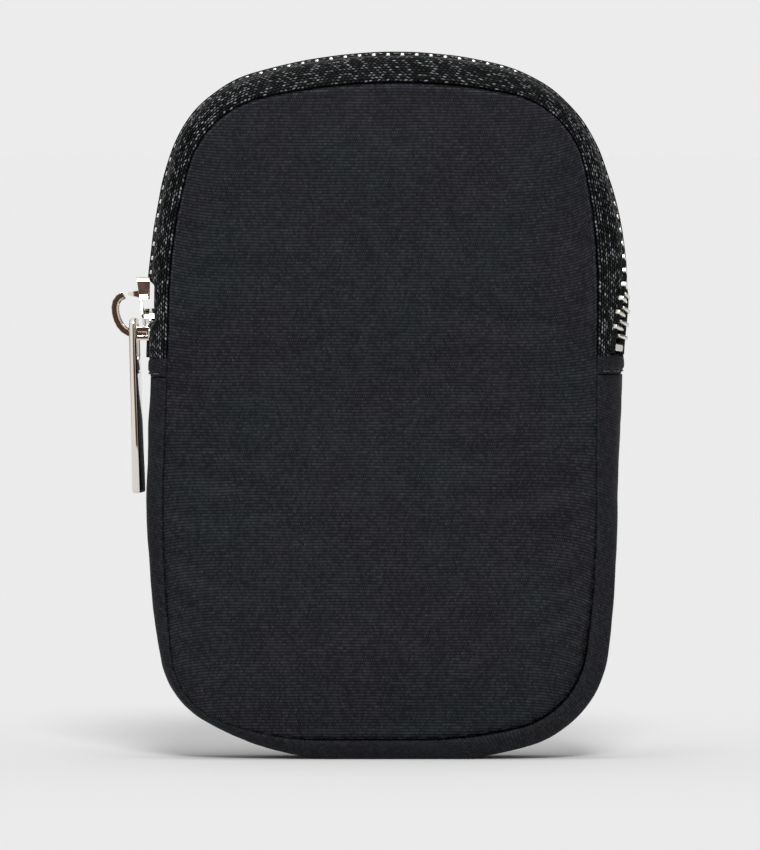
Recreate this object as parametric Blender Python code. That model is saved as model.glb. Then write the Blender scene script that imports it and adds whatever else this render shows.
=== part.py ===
"""Small zip-around pouch of ribbed nylon, standing upright.

Front and back panels are joined by a band: a fabric gusset round the bottom and, over the top
from one side tab to the other, a metal zip. The front panel folds down at the height where the
zip lets it go. All sizes below are in millimetres, seen from the front: +X right, +Z up, and the
front panel faces -Y. The origin is on the flat underside, midway between the panels.
"""

import math
from typing import NamedTuple

import bmesh
import bpy
from mathutils import Matrix, Vector

MILLIMETRE = 0.001


class Quarter(NamedTuple):
    """A quarter of an outline: a side arc, a corner arc and an end arc, each tangent to the next."""

    reach: float  # from the middle of the pouch to the widest point
    widest: float  # height of the widest point
    side: float  # radius of the side arc
    corner: float  # radius of the corner arc
    end: float  # radius of the arc over the top or under the bottom
    apex: float  # where the end arc runs level, measured along X


class Band(NamedTuple):
    """How a quarter of the panel's outline lies inside the same quarter of the pouch's."""

    side: float  # width of the band beside the widest point
    side_radius: float
    corner: float
    end_radius: float
    apex: float


# Outline of the pouch halfway between its panels, where the zip's teeth run
TOP = 133.0
FABRIC = 0.6
BOTTOM = FABRIC / 2
UPPER_LEFT = Quarter(reach=43.6, widest=84.0, side=110.0, corner=23.0, end=95.0, apex=3.0)
UPPER_RIGHT = Quarter(reach=45.9, widest=86.0, side=78.0, corner=27.0, end=80.0, apex=3.0)
SAG_LEFT = UPPER_LEFT.reach + 0.8
DRAWN_RIGHT = UPPER_RIGHT.reach - 1.5
LOWER_LEFT = Quarter(reach=SAG_LEFT, widest=50.0, side=180.0, corner=17.0, end=48.0, apex=-9.0)
LOWER_RIGHT = Quarter(reach=DRAWN_RIGHT, widest=50.0, side=260.0, corner=20.0, end=52.0, apex=14.0)

# Outline of the front and back panels, which are cut alike
TOP_BAND = 5.4
BOTTOM_BAND = 4.0
PANEL_UPPER_LEFT = Band(side=3.5, side_radius=106.0, corner=18.5, end_radius=120.0, apex=3.0)
PANEL_UPPER_RIGHT = Band(side=5.4, side_radius=140.0, corner=17.0, end_radius=110.0, apex=3.0)
PANEL_LOWER_LEFT = Band(side=3.1, side_radius=300.0, corner=14.0, end_radius=62.0, apex=-12.0)
PANEL_LOWER_RIGHT = Band(side=4.0, side_radius=180.0, corner=16.5, end_radius=90.0, apex=5.0)

# Depth and walls
SEAM_HALF = 11.0  # from the middle plane to either panel's seam
CROWN = 3.0  # how far a panel swells past its seam
CROWN_POWER = 3.5
PADDING = 1.5
LINING = 0.4
GAP = 0.3  # left between pieces that touch
SEAM_GAP = 0.2  # half of what is left along a seam
INNER_EDGE = 0.6  # how far a panel's inner layers stop short of its seam
FLAT_BASE = 7.5  # half width of the flat strip under the pouch
FLAT_PLAIN = 2.0  # half width of the flat strip at the zip's other end
FACE_RINGS = (1.0, 0.9, 0.72, 0.42)  # rings of a panel's face, as shares of its size
INNER_RINGS = (1.0, 0.6)

# Zip
TAB_LOW = 72.4
TAB_HIGH = 76.2
TAB_PROUD = 0.3
FOLD = 93.5  # height where the front folds
LEAN_TOP = 108.0  # the teeth lie midway between the panels above this
RIGHT_SHIFT = 5.0  # how far the teeth lean to the front at the right tab
PITCH = 2.7  # from one tooth to the next on the same tape
TOOTH_HALF = 0.6  # half of a tooth's thickness at its legs
HEAD_HALF = 0.35
TOOTH_ROOT = 2.8  # from the middle of the chain to the legs' ends
TOOTH_WAIST = 0.75
TOOTH_TIP = 0.85  # how far a head reaches past the middle
TOOTH_RISE = 0.9  # half of a tooth's height
BEAD_OUT = 2.5
BEAD_IN = 1.0
BEAD_RISE = 0.45
TAPE_EDGE = TOOTH_ROOT + GAP
STOP_LENGTH = 1.9
STOP_CORNER = 0.4
STOP_RISE = 0.7
STOP_INNER = 0.5  # from the middle of the chain to a top stop

# Slider
SLIDER_AT = 86.6  # height of its middle when the zip is shut
SLIDER_LENGTH = 9.2
SLIDER_WALL = 0.75
PLATE = 0.5
PLATE_LEAN = 0.165  # rise of the outer plate for each millimetre from nose to tail
FLANGE_FROM = 0.4  # the plates' flanges run from here to the tail
CHANNEL_CLEAR = 0.25
SLOT_CLEAR = 0.35
WEDGE_HALF = 0.75  # half width of the wedge that parts the teeth
WEDGE_LENGTH = 3.0
WEDGE_SHOULDER = 1.1  # from the wedge's blunt end to its full width
WEDGE_TIP = 0.08
NOSE_ROUND = 1.4
TAIL_ROUND = 0.8
SPREAD_TOP = 1.6  # the rows part between these two places along the slider
SPREAD_BOTTOM = -3.2
LUG_MIDDLE = 1.4  # above the slider's middle
LUG_ROOT = 0.75  # half width where it leaves the plate
LUG_TIP = 0.3
LUG_REACH = 4.7  # from the chain to the lug's tip
BAIL_HALF = 0.8
BAIL_REACH = 8.05  # from the chain to the bail's far side
BAIL_EDGE = 0.25
BAIL_WIRE = 1.5  # width of the bail seen from the front
BAIL_SHOULDER = ((0.1, 2.6), (0.8, 1.55), (2.15, 0.85))  # back from the lug, in from the reach
BAIL_ELBOW = ((3.45, 1.45), (1.45, 2.5), (0.5, 3.6))  # ahead of its foot, in from the reach
BAIL_FOOT = 1.0  # half width of its foot, below the slider's nose
BAIL_FOOT_HIGH = 3.0
BAIL_FOOT_LOW = 0.8
TRAVEL_TOP = 113.0  # the side arc ends about here

# Puller
PULLER_LENGTH = 33.3
PULLER_WIDTH = 6.0
PULLER_THICK = 1.2  # at the eye
FOOT_THICK = 1.7
PULLER_BAR = 1.3  # the bar that closes the eye
WINDOW_LENGTH = 6.7
WINDOW_WIDTH = 4.0
EYE_CORNER = 2.0
FOOT_CORNER = 0.7
WINDOW_CORNER = 1.2
BAR_EDGE = 0.2
PIN_ALONG = -3.75  # the eye's bar, measured from the slider's middle
PIN_CLEAR = 0.65  # from the slider's plate to the eye's nearest edge
PULLER_LEAN = 1.6  # degrees, foot towards the pouch
PULLER_TURN = 8.0  # degrees about the vertical

# Facets
STEPS = (3, 5, 4, 6, 6, 6, 4, 4, 6, 6, 6, 4, 5, 3, 4)  # per arc or line of an outline
SEGMENTS = len(STEPS)
BAND_COLUMNS = 4  # depths on either side of the band's flat strip
TAPE_COLUMNS = 5
BAR_STEPS = 3
CAST_STEPS = 2
BAIL_STEPS = 2
CUT_OVER = 1.0  # how far a cutter reaches past what it cuts
SHORTEST = 0.06  # no facet is shorter than this share of an arc
NEAR_U = 0.01  # steps over which a slope is measured
NEAR_Y = 0.05


def smooth(t):
    """0 below 0, 1 above 1, and a smooth rise between."""
    t = min(max(t, 0.0), 1.0)
    return t * t * (3 - 2 * t)


class Outline:
    """A closed outline of arcs. Its parameter runs clockwise from the left end of the flat bottom:
    a whole number at each joint between arcs, and a fraction along each arc."""

    def __init__(self, lower_left, upper_left, upper_right, lower_right, bottom, top):
        self.parts = [
            *reversed(self.arcs(lower_left, -1, -1, bottom)),
            None,
            *self.arcs(upper_left, -1, 1, top),
            *reversed(self.arcs(upper_right, 1, 1, top)),
            None,
            *self.arcs(lower_right, 1, -1, bottom),
            None,
        ]
        self.backwards = {0, 1, 2, 7, 8, 9}

    @staticmethod
    def arcs(quarter, side, up, end_height):
        """Side, corner and end arc of one quarter, as (centre, radius, first angle, last angle)
        in a quarter turned to point right and up, with the signs that turn it back."""
        rise = up * (end_height - quarter.widest)
        side_centre = Vector((quarter.reach - quarter.side, 0.0))
        end_centre = Vector((side * quarter.apex, rise - quarter.end))
        apart = end_centre - side_centre
        a = quarter.side - quarter.corner
        b = quarter.end - quarter.corner
        along = (a * a - b * b + apart.length_squared) / (2 * apart.length)
        off = math.sqrt(max(a * a - along * along, 0.0))
        unit = apart.normalized()
        normal = Vector((-unit.y, unit.x))
        corners = [side_centre + unit * along + normal * off * s for s in (1, -1)]
        corner = max(corners, key=lambda c: c.x + c.y)
        low = math.atan2(corner.y - side_centre.y, corner.x - side_centre.x)
        high = math.atan2(corner.y - end_centre.y, corner.x - end_centre.x)
        turn = (side, up, quarter.widest)
        return [
            (side_centre, quarter.side, 0.0, low, turn),
            (corner, quarter.corner, low, high, turn),
            (end_centre, quarter.end, high, math.pi / 2, turn),
        ]

    @staticmethod
    def on_arc(part, t):
        centre, radius, first, last, (side, up, widest) = part
        angle = first + (last - first) * t
        x = centre.x + radius * math.cos(angle)
        z = centre.y + radius * math.sin(angle)
        return Vector((side * x, widest + up * z))

    def point(self, u):
        """(x, z) at parameter u."""
        u %= SEGMENTS
        k = min(int(u), SEGMENTS - 1)
        t = u - k
        part = self.parts[k]
        if part is None:
            start = self.on_arc(self.parts[k - 1], 0.0 if k - 1 in self.backwards else 1.0)
            after = (k + 1) % SEGMENTS
            end = self.on_arc(self.parts[after], 1.0 if after in self.backwards else 0.0)
            return start.lerp(end, t)
        return self.on_arc(part, 1 - t if k in self.backwards else t)


def narrowed(quarter, band):
    """The panel's quarter inside one of the pouch's."""
    reach = quarter.reach - band.side
    return Quarter(reach, quarter.widest, band.side_radius, band.corner, band.end_radius, band.apex)


POUCH = Outline(LOWER_LEFT, UPPER_LEFT, UPPER_RIGHT, LOWER_RIGHT, BOTTOM, TOP)
PANEL = Outline(
    narrowed(LOWER_LEFT, PANEL_LOWER_LEFT),
    narrowed(UPPER_LEFT, PANEL_UPPER_LEFT),
    narrowed(UPPER_RIGHT, PANEL_UPPER_RIGHT),
    narrowed(LOWER_RIGHT, PANEL_LOWER_RIGHT),
    BOTTOM + BOTTOM_BAND,
    TOP - TOP_BAND,
)
PANEL_CENTRE = Vector((LOWER_LEFT.apex + LOWER_RIGHT.apex, TOP + BOTTOM)) / 2


def left_at(height):
    """Parameter of the outline's left side at a height."""
    low, high = 1.0, 6.5
    for _ in range(40):
        middle = (low + high) / 2
        if POUCH.point(middle).y < height:
            low = middle
        else:
            high = middle
    return low


def right_at(height):
    """Parameter of the outline's right side at a height."""
    low, high = 7.5, 13.0
    for _ in range(40):
        middle = (low + high) / 2
        if POUCH.point(middle).y > height:
            low = middle
        else:
            high = middle
    return low


SPREAD = WEDGE_HALF + TOOTH_TIP + CHANNEL_CLEAR
TAIL_HALF = TOOTH_ROOT + CHANNEL_CLEAR + SLIDER_WALL
NOSE_HALF = TAIL_HALF + SPREAD
PLATE_LOW = TOOTH_RISE + CHANNEL_CLEAR
PLATE_HIGH = PLATE_LOW + PLATE
PULLER_SWING = PULLER_WIDTH / 2 * math.sin(math.radians(PULLER_TURN))
PLATE_AT_PIN = PLATE_HIGH + PLATE_LEAN * (PIN_ALONG + SLIDER_LENGTH / 2)
PIN_OUT = PLATE_AT_PIN + PIN_CLEAR + PULLER_THICK / 2 + PULLER_SWING
TOP_STOP_AT = -SLIDER_LENGTH / 2 - GAP - STOP_LENGTH / 2  # just below the slider's nose


def lean(place):
    """0 to 1 down the right side, where the zip leans to the front."""
    if place.x < 0:
        return 0.0
    return smooth((LEAN_TOP - place.y) / (LEAN_TOP - TAB_HIGH))


def chain_depth(u):
    """Y of the middle of the teeth."""
    return -RIGHT_SHIFT * lean(POUCH.point(u))


def flat_half(place):
    """Half width of the strip that runs level between the panels."""
    beside_slider = NOSE_HALF + GAP
    flat = beside_slider + (FLAT_PLAIN - beside_slider) * lean(place)
    base = smooth((TAB_LOW - place.y) / (TAB_LOW - LOWER_LEFT.corner))
    return flat + (FLAT_BASE - flat) * base


def skin(u, y):
    """The middle of the fabric or tape, at an outline parameter and a depth."""
    middle = POUCH.point(u)
    flat = flat_half(middle)
    share = max(0.0, (abs(y) - flat) / (SEAM_HALF - flat)) ** 2
    place = middle.lerp(PANEL.point(u), share)
    return Vector((place.x, y, place.y))


def outward(u, y):
    """Unit normal of the skin."""
    along = skin(u + NEAR_U, y) - skin(u - NEAR_U, y)
    across = skin(u, y + NEAR_Y) - skin(u, y - NEAR_Y)
    return along.cross(across).normalized()


def stations(first, last, bends=()):
    """Outline parameters from first to last, past the outline's start if last is beyond it, with
    one at each bend in the strip's edge."""
    found = [first, *(u for u in bends if first + SHORTEST < u < last - SHORTEST)]
    for turn in (0, SEGMENTS):
        for k, steps in enumerate(STEPS):
            for j in range(steps):
                u = turn + k + j / steps
                near = min(abs(u - other) for other in (*found, last))
                if first < u < last and near > SHORTEST:
                    found.append(u)
    return sorted(found) + [last]


def evenly(low, high, count):
    return [low + (high - low) * i / (count - 1) for i in range(count)]


def finished(bm):
    """The mesh with every face turned outwards."""
    bmesh.ops.recalc_face_normals(bm, faces=bm.faces)
    return bm


def ring_faces(bm, first, second):
    """Faces between two loops of as many vertices."""
    for i in range(len(first)):
        j = (i + 1) % len(first)
        bm.faces.new((first[i], first[j], second[j], second[i]))


def band(us, depths, outer, inner):
    """A closed strip of the skin between two offsets from it, along us and across depths(u)."""
    bm = bmesh.new()
    loops = []
    for u in us:
        ys = depths(u)
        top = [skin(u, y) + outward(u, y) * outer for y in ys]
        under = [skin(u, y) + outward(u, y) * inner for y in reversed(ys)]
        loops.append([bm.verts.new(p * MILLIMETRE) for p in top + under])
    for before, after in zip(loops, loops[1:]):
        ring_faces(bm, before, after)
    for loop in (loops[0], loops[-1]):
        for i in range(len(loop) // 2 - 1):
            bm.faces.new((loop[i], loop[i + 1], loop[-2 - i], loop[-1 - i]))
    return finished(bm)


def panel(side, outer, inner, edge, rings, every):
    """A crowned disc inside the panel's outline, between two depths below the outer face."""
    us = stations(0.0, float(SEGMENTS))[:-1][::every]
    bm = bmesh.new()
    faces = []
    for level in (outer, inner):
        loops = []
        for share in rings:
            loop = []
            for u in us:
                arm = PANEL.point(u) - PANEL_CENTRE
                place = PANEL_CENTRE + arm * share * (1 - edge / arm.length)
                swell = CROWN * (1 - share**CROWN_POWER)
                y = side * (SEAM_HALF + swell - level)
                loop.append(bm.verts.new(Vector((place.x, y, place.y)) * MILLIMETRE))
            loops.append(loop)
        for big, small in zip(loops, loops[1:]):
            ring_faces(bm, big, small)
        y = side * (SEAM_HALF + CROWN - level)
        hub = bm.verts.new(Vector((PANEL_CENTRE.x, y, PANEL_CENTRE.y)) * MILLIMETRE)
        for i in range(len(us)):
            bm.faces.new((loops[-1][i], loops[-1][(i + 1) % len(us)], hub))
        faces.append(loops[0])
    ring_faces(bm, *faces)
    return finished(bm)


def kept(bm, height, above):
    """What lies above or below a height, closed again where it was cut."""
    geometry = bm.verts[:] + bm.edges[:] + bm.faces[:]
    bmesh.ops.bisect_plane(
        bm,
        geom=geometry,
        plane_co=(0, 0, height * MILLIMETRE),
        plane_no=(0, 0, 1),
        clear_inner=above,
        clear_outer=not above,
    )
    bmesh.ops.holes_fill(bm, edges=[e for e in bm.edges if e.is_boundary])
    return finished(bm)


def prism(outline, low, high):
    """An outline in X and Y, extruded from low to high along Z."""
    bm = bmesh.new()
    base = bm.faces.new([bm.verts.new(Vector((x, y, low)) * MILLIMETRE) for x, y in outline])
    raised = bmesh.ops.extrude_face_region(bm, geom=[base])["geom"]
    lift = Vector((0, 0, (high - low) * MILLIMETRE))
    bmesh.ops.translate(bm, verts=[g for g in raised if isinstance(g, bmesh.types.BMVert)], vec=lift)
    return finished(bm)


def mirrored(half):
    """A closed outline from its half at positive Y, given from one end to the other."""
    return half + [(x, -y) for x, y in reversed(half)]


class Chain:
    """The line midway between the rows of teeth, from the left tab over the top to the right tab."""

    def __init__(self, first, last, count=900):
        self.us = evenly(first, last, count)
        points = [skin(u, chain_depth(u)) for u in self.us]
        self.runs = [0.0]
        for a, b in zip(points, points[1:]):
            self.runs.append(self.runs[-1] + (b - a).length)
        self.length = self.runs[-1]

    def u_at(self, run):
        """Outline parameter at a distance along the chain."""
        low, high = 0, len(self.runs) - 1
        while high - low > 1:
            middle = (low + high) // 2
            if self.runs[middle] <= run:
                low = middle
            else:
                high = middle
        share = (run - self.runs[low]) / (self.runs[high] - self.runs[low])
        return self.us[low] + (self.us[high] - self.us[low]) * share

    def run_at(self, u):
        """Distance along the chain at an outline parameter."""
        share = (u - self.us[0]) / (self.us[-1] - self.us[0]) * (len(self.us) - 1)
        low = min(int(share), len(self.us) - 2)
        return self.runs[low] + (self.runs[low + 1] - self.runs[low]) * (share - low)

    def frame(self, run):
        """Matrix, in metres, whose axes run along the chain, across it towards the back, and outwards."""
        u = self.u_at(run)
        y = chain_depth(u)
        before, after = u - NEAR_U, u + NEAR_U
        along = (skin(after, chain_depth(after)) - skin(before, chain_depth(before))).normalized()
        out = outward(u, y)
        across = out.cross(along).normalized()
        out = along.cross(across)
        turn = Matrix((along, across, out)).transposed().to_4x4()
        return Matrix.Translation(skin(u, y) * MILLIMETRE) @ turn


CHAIN = Chain(left_at(TAB_HIGH + GAP), right_at(TAB_HIGH + GAP))
SLIDER_RUN = CHAIN.run_at(left_at(SLIDER_AT))


def spread(run):
    """How far either row lies from its meshed place, at a distance along the chain."""
    share = (SPREAD_TOP - (run - SLIDER_RUN)) / (SPREAD_TOP - SPREAD_BOTTOM)
    return SPREAD * min(max(share, 0.0), 1.0)


def tooth_row(side, runs):
    """Teeth at these distances along the chain, clamped on the bead of one tape: side is -1 in
    front and 1 behind. Each tooth is its plan, extruded, with the bead running through its legs."""
    plan = [
        (-TOOTH_HALF, -TOOTH_ROOT),
        (TOOTH_HALF, -TOOTH_ROOT),
        (TOOTH_HALF, -TOOTH_WAIST),
        (HEAD_HALF, TOOTH_TIP),
        (-HEAD_HALF, TOOTH_TIP),
        (-TOOTH_HALF, -TOOTH_WAIST),
    ]
    bead = [
        (-BEAD_OUT, -BEAD_RISE),
        (-BEAD_IN, -BEAD_RISE),
        (-BEAD_IN, BEAD_RISE),
        (-BEAD_OUT, BEAD_RISE),
    ]
    bm = bmesh.new()
    before = None
    for number, run in enumerate(runs):
        place = CHAIN.frame(run)

        def vertex(a, b, rise):
            local = Vector((a, side * (spread(run) - b), rise)) * MILLIMETRE
            return bm.verts.new(place @ local)

        low = [vertex(a, b, -TOOTH_RISE) for a, b in plan]
        high = [vertex(a, b, TOOTH_RISE) for a, b in plan]
        bm.faces.new(low)
        bm.faces.new(high)
        for i in (0, 2, 3, 4):
            bm.faces.new((low[i], low[i + 1], high[i + 1], high[i]))
        left_leg = [low[0], low[5], high[5], high[0]]
        right_leg = [low[1], low[2], high[2], high[1]]
        if number == 0:
            bm.faces.new(left_leg)
        else:
            entry = [vertex(-TOOTH_HALF, b, rise) for b, rise in bead]
            ring_faces(bm, left_leg, entry)
            ring_faces(bm, before, entry)
        if number == len(runs) - 1:
            bm.faces.new(right_leg)
        else:
            before = [vertex(TOOTH_HALF, b, rise) for b, rise in bead]
            ring_faces(bm, right_leg, before)
    return finished(bm)


def stop(low, high):
    """A clamped stop between two places across the chain, as a prism along it."""
    half = STOP_LENGTH / 2
    corner = STOP_CORNER
    outline = [
        (-half, low + corner),
        (-half + corner, low),
        (half - corner, low),
        (half, low + corner),
        (half, high - corner),
        (half - corner, high),
        (-half + corner, high),
        (-half, high - corner),
    ]
    return prism(outline, -STOP_RISE, STOP_RISE)


def slider_outline(wall):
    """Plan of the slider, or of the channel through it where wall is 0. The channel is open at
    both sides below the flanges."""
    end = SLIDER_LENGTH / 2
    tail = TAIL_HALF - SLIDER_WALL + wall
    nose = tail + SPREAD
    if wall == 0:
        over = end + CUT_OVER
        wide = NOSE_HALF + CUT_OVER
        flange = tail + spread(SLIDER_RUN + FLANGE_FROM)
        return mirrored(
            [(-over, wide), (FLANGE_FROM, wide), (FLANGE_FROM, flange), (SPREAD_TOP, tail), (over, tail)]
        )
    shoulder = max(SPREAD_BOTTOM, NOSE_ROUND - end) + SLIDER_WALL
    return mirrored(
        corner_arc(NOSE_ROUND - end, nose - NOSE_ROUND, NOSE_ROUND, 180, 90, CAST_STEPS)
        + [(shoulder, nose), (SPREAD_TOP, tail)]
        + corner_arc(end - TAIL_ROUND, tail - TAIL_ROUND, TAIL_ROUND, 90, 0, CAST_STEPS)
    )


def wedge_outline():
    """Plan of the wedge that parts the teeth at the slider's nose."""
    start = GAP - SLIDER_LENGTH / 2
    full = (start + WEDGE_SHOULDER, WEDGE_HALF)
    return mirrored([(start, WEDGE_HALF / 2), full, (start + WEDGE_LENGTH, WEDGE_TIP)])


def curve_through(points, steps):
    """Points on a smooth curve through the given ones (Catmull-Rom)."""
    padded = [2 * points[0] - points[1], *points, 2 * points[-1] - points[-2]]
    found = []
    for p0, p1, p2, p3 in zip(padded, padded[1:], padded[2:], padded[3:]):
        for k in range(steps):
            t = k / steps
            found.append(
                0.5
                * (
                    2 * p1
                    + (p2 - p0) * t
                    + (2 * p0 - 5 * p1 + 4 * p2 - p3) * t**2
                    + (3 * p1 - p0 - 3 * p2 + p3) * t**3
                )
            )
    return found + [points[-1]]


def bail_outline():
    """Side view of the bail, along the chain and outwards: from the lug, round the loop where the
    puller hangs, to its foot below the slider's nose. Each place is (along, out, half width)."""
    foot = -SLIDER_LENGTH / 2 - GAP - BAIL_FOOT
    wire = BAIL_WIRE / 2
    places = [(LUG_MIDDLE, LUG_REACH + GAP, wire)]
    places += [(LUG_MIDDLE - back, BAIL_REACH - inward, wire) for back, inward in BAIL_SHOULDER]
    places += [(foot + ahead, BAIL_REACH - inward, wire) for ahead, inward in BAIL_ELBOW]
    places += [(foot, BAIL_FOOT_HIGH, BAIL_FOOT), (foot, BAIL_FOOT_LOW, BAIL_FOOT)]
    line = curve_through([Vector(p) for p in places], BAIL_STEPS)
    left, right = [], []
    for i, place in enumerate(line):
        ahead = line[min(i + 1, len(line) - 1)] - line[max(i - 1, 0)]
        across = Vector((-ahead.y, ahead.x)).normalized() * place.z
        left.append((place.x + across.x, place.y + across.y))
        right.append((place.x - across.x, place.y - across.y))
    return left + right[::-1]


def corner_arc(x, y, radius, first, last, steps):
    """Points round a corner, between two angles in degrees."""
    angles = [math.radians(a) for a in evenly(first, last, steps + 1)]
    return [(x + radius * math.cos(a), y + radius * math.sin(a)) for a in angles]


def bar_outline(length, width, end, foot):
    """Plan of the puller or its window: X down its length from the pin, Y across it."""
    half = width / 2
    top, bottom = length
    return mirrored(
        corner_arc(top + end, half - end, end, 180, 90, BAR_STEPS)
        + corner_arc(bottom - foot, half - foot, foot, 90, 0, BAR_STEPS)
    )


def material(name, colour, roughness, metallic):
    """A plain finish, with its colour given as sRGB hex."""
    made = bpy.data.materials.new(name)
    made.use_nodes = True
    shader = made.node_tree.nodes["Principled BSDF"]
    channels = [int(colour[i : i + 2], 16) / 255 for i in (1, 3, 5)]
    linear = [c / 12.92 if c <= 0.04045 else ((c + 0.055) / 1.055) ** 2.4 for c in channels]
    shader.inputs["Base Color"].default_value = (*linear, 1)
    shader.inputs["Roughness"].default_value = roughness
    shader.inputs["Metallic"].default_value = metallic
    made.diffuse_color = (*linear, 1)
    return made


def add(name, bm, finish, holder, place=None):
    """Makes an object of a mesh, in place under the empty that carries it."""
    mesh = bpy.data.meshes.new(name)
    bm.to_mesh(mesh)
    bm.free()
    mesh.shade_smooth()
    mesh.set_sharp_from_angle(angle=math.radians(35))
    made = bpy.data.objects.new(name, mesh)
    bpy.context.scene.collection.objects.link(made)
    made.data.materials.append(finish)
    if place is not None:
        made.matrix_world = place
    made.parent = holder
    made.matrix_parent_inverse = holder.matrix_world.inverted()
    return made


def carrier(name, place, parent=None):
    """An empty on a joint's axis, which carries what moves with it."""
    made = bpy.data.objects.new(name, None)
    bpy.context.scene.collection.objects.link(made)
    made.matrix_world = Matrix.Translation(Vector(place) * MILLIMETRE)
    if parent is not None:
        made.parent = parent
        made.matrix_parent_inverse = parent.matrix_world.inverted()
    bpy.context.view_layer.update()
    return made


def shaped(target, operation, tool):
    """Adds a Boolean to an object, with a tool that isn't part of the model."""
    tool.hide_render = True
    tool.display_type = "WIRE"
    modifier = target.modifiers.new(tool.name, "BOOLEAN")
    modifier.operation = operation
    modifier.object = tool


def softened(target, width):
    """Rounds an object's sharp edges."""
    modifier = target.modifiers.new("edges", "BEVEL")
    modifier.width = width * MILLIMETRE
    modifier.segments = 1
    modifier.angle_limit = math.radians(50)
    modifier.use_clamp_overlap = True


def clear_scene():
    for old in list(bpy.data.objects):
        bpy.data.objects.remove(old, do_unlink=True)


def across_band(u):
    """Depths over the whole width of the band between the panels."""
    edge = SEAM_HALF - SEAM_GAP
    flat = flat_half(POUCH.point(u))
    return evenly(-edge, -flat, BAND_COLUMNS) + evenly(flat, edge, BAND_COLUMNS)


def across_inside(_):
    """Depths of the layers inside the gusset, clear of the panels' own layers."""
    reach = SEAM_HALF - FABRIC - PADDING - LINING - 3 * GAP
    return [-reach, reach]


def across_tape(side, u):
    """Depths of one tape, from its seam to the teeth."""
    edge = side * (SEAM_HALF - SEAM_GAP)
    run = CHAIN.run_at(u)
    teeth = chain_depth(u) + side * (TAPE_EDGE + spread(run))
    low, high = sorted((edge, teeth))
    return evenly(low, high, TAPE_COLUMNS)


def make_panels(pouch, flap, nylon, foam, lining):
    """Both panels, each a nylon face over padding and lining. The front ones part at the fold."""
    foam_top = FABRIC + GAP
    lining_top = foam_top + PADDING + GAP
    layers = (
        ("panel", nylon, 0.0, FABRIC, SEAM_GAP, FACE_RINGS, 1),
        ("padding", foam, foam_top, foam_top + PADDING, INNER_EDGE, INNER_RINGS, 2),
        ("lining", lining, lining_top, lining_top + LINING, INNER_EDGE, INNER_RINGS, 2),
    )
    for name, finish, *shape in layers:
        add("back_" + name, panel(1, *shape), finish, pouch)
        lower = kept(panel(-1, *shape), FOLD - GAP / 2, above=False)
        upper = kept(panel(-1, *shape), FOLD + GAP / 2, above=True)
        add("front_" + name + "_lower", lower, finish, pouch)
        add("front_" + name + "_flap", upper, finish, flap)


def make_gusset(pouch, nylon, foam, lining):
    """The fabric band from one tab, round the bottom, to the other."""
    half = FABRIC / 2
    us = stations(right_at(TAB_LOW - GAP), left_at(TAB_LOW - GAP) + SEGMENTS)
    add("gusset", band(us, across_band, half, -half), nylon, pouch)
    under = half + GAP
    add("gusset_padding", band(us, across_inside, -under, -under - PADDING), foam, pouch)
    under += PADDING + GAP
    add("gusset_lining", band(us, across_inside, -under, -under - LINING), lining, pouch)


def make_tabs(pouch, nylon):
    """The folded strips that cover the ends of the zip."""
    proud = FABRIC / 2 + TAB_PROUD
    for name, ends in (
        ("zip_tab_left", (left_at(TAB_LOW), left_at(TAB_HIGH))),
        ("zip_tab_right", (right_at(TAB_HIGH), right_at(TAB_LOW))),
    ):
        add(name, band([*ends], across_band, proud, -proud), nylon, pouch)


def make_tapes(pouch, flap, tape):
    """The zip's two tapes. The front one parts at the fold on either side."""
    half = FABRIC / 2
    first, last = left_at(TAB_HIGH + GAP), right_at(TAB_HIGH + GAP)

    def front(u):
        return across_tape(-1, u)

    def back(u):
        return across_tape(1, u)

    bends = [CHAIN.u_at(SLIDER_RUN + SPREAD_BOTTOM), CHAIN.u_at(SLIDER_RUN + SPREAD_TOP)]
    add("back_tape", band(stations(first, last, bends), back, half, -half), tape, pouch)
    below, above = FOLD - GAP / 2, FOLD + GAP / 2
    pieces = (
        ("front_tape_left", first, left_at(below), pouch),
        ("front_tape_arch", left_at(above), right_at(above), flap),
        ("front_tape_right", right_at(below), last, pouch),
    )
    for name, start, end, body in pieces:
        add(name, band(stations(start, end, bends), front, half, -half), tape, body)


def make_teeth(pouch, flap, metal):
    """Both rows of teeth and the stops at their ends."""
    top_stop_run = SLIDER_RUN + TOP_STOP_AT
    bottom_stop_run = CHAIN.length - GAP - STOP_LENGTH / 2
    beyond_stop = STOP_LENGTH / 2 + GAP + TOOTH_HALF
    fold_left, fold_right = CHAIN.run_at(left_at(FOLD)), CHAIN.run_at(right_at(FOLD))
    below_fold = int((fold_left - top_stop_run - beyond_stop) / PITCH - 0.5)
    first = fold_left - (below_fold + 0.5) * PITCH
    last = bottom_stop_run - beyond_stop
    front = [first + PITCH * k for k in range(int((last - first) / PITCH) + 1)]
    back = [run + PITCH / 2 for run in front if run + PITCH / 2 <= last]
    left = [run for run in front if run < fold_left]
    right = [run for run in front if run > fold_right]
    arch = [run for run in front if fold_left < run < fold_right]
    add("back_teeth", tooth_row(1, back), metal, pouch)
    add("front_teeth_left", tooth_row(-1, left), metal, pouch)
    add("front_teeth_arch", tooth_row(-1, arch), metal, flap)
    add("front_teeth_right", tooth_row(-1, right), metal, pouch)
    apart = spread(top_stop_run)
    top_place = CHAIN.frame(top_stop_run)
    reach = (STOP_INNER + apart, BEAD_OUT + apart)
    add("top_stop_back", stop(*reach), metal, pouch, top_place)
    add("top_stop_front", stop(-reach[1], -reach[0]), metal, pouch, top_place)
    add("bottom_stop", stop(-BEAD_OUT, BEAD_OUT), metal, pouch, CHAIN.frame(bottom_stop_run))
    print(f"{len(front)} front teeth and {len(back)} back teeth, {PITCH} mm apart on each tape")


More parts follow.
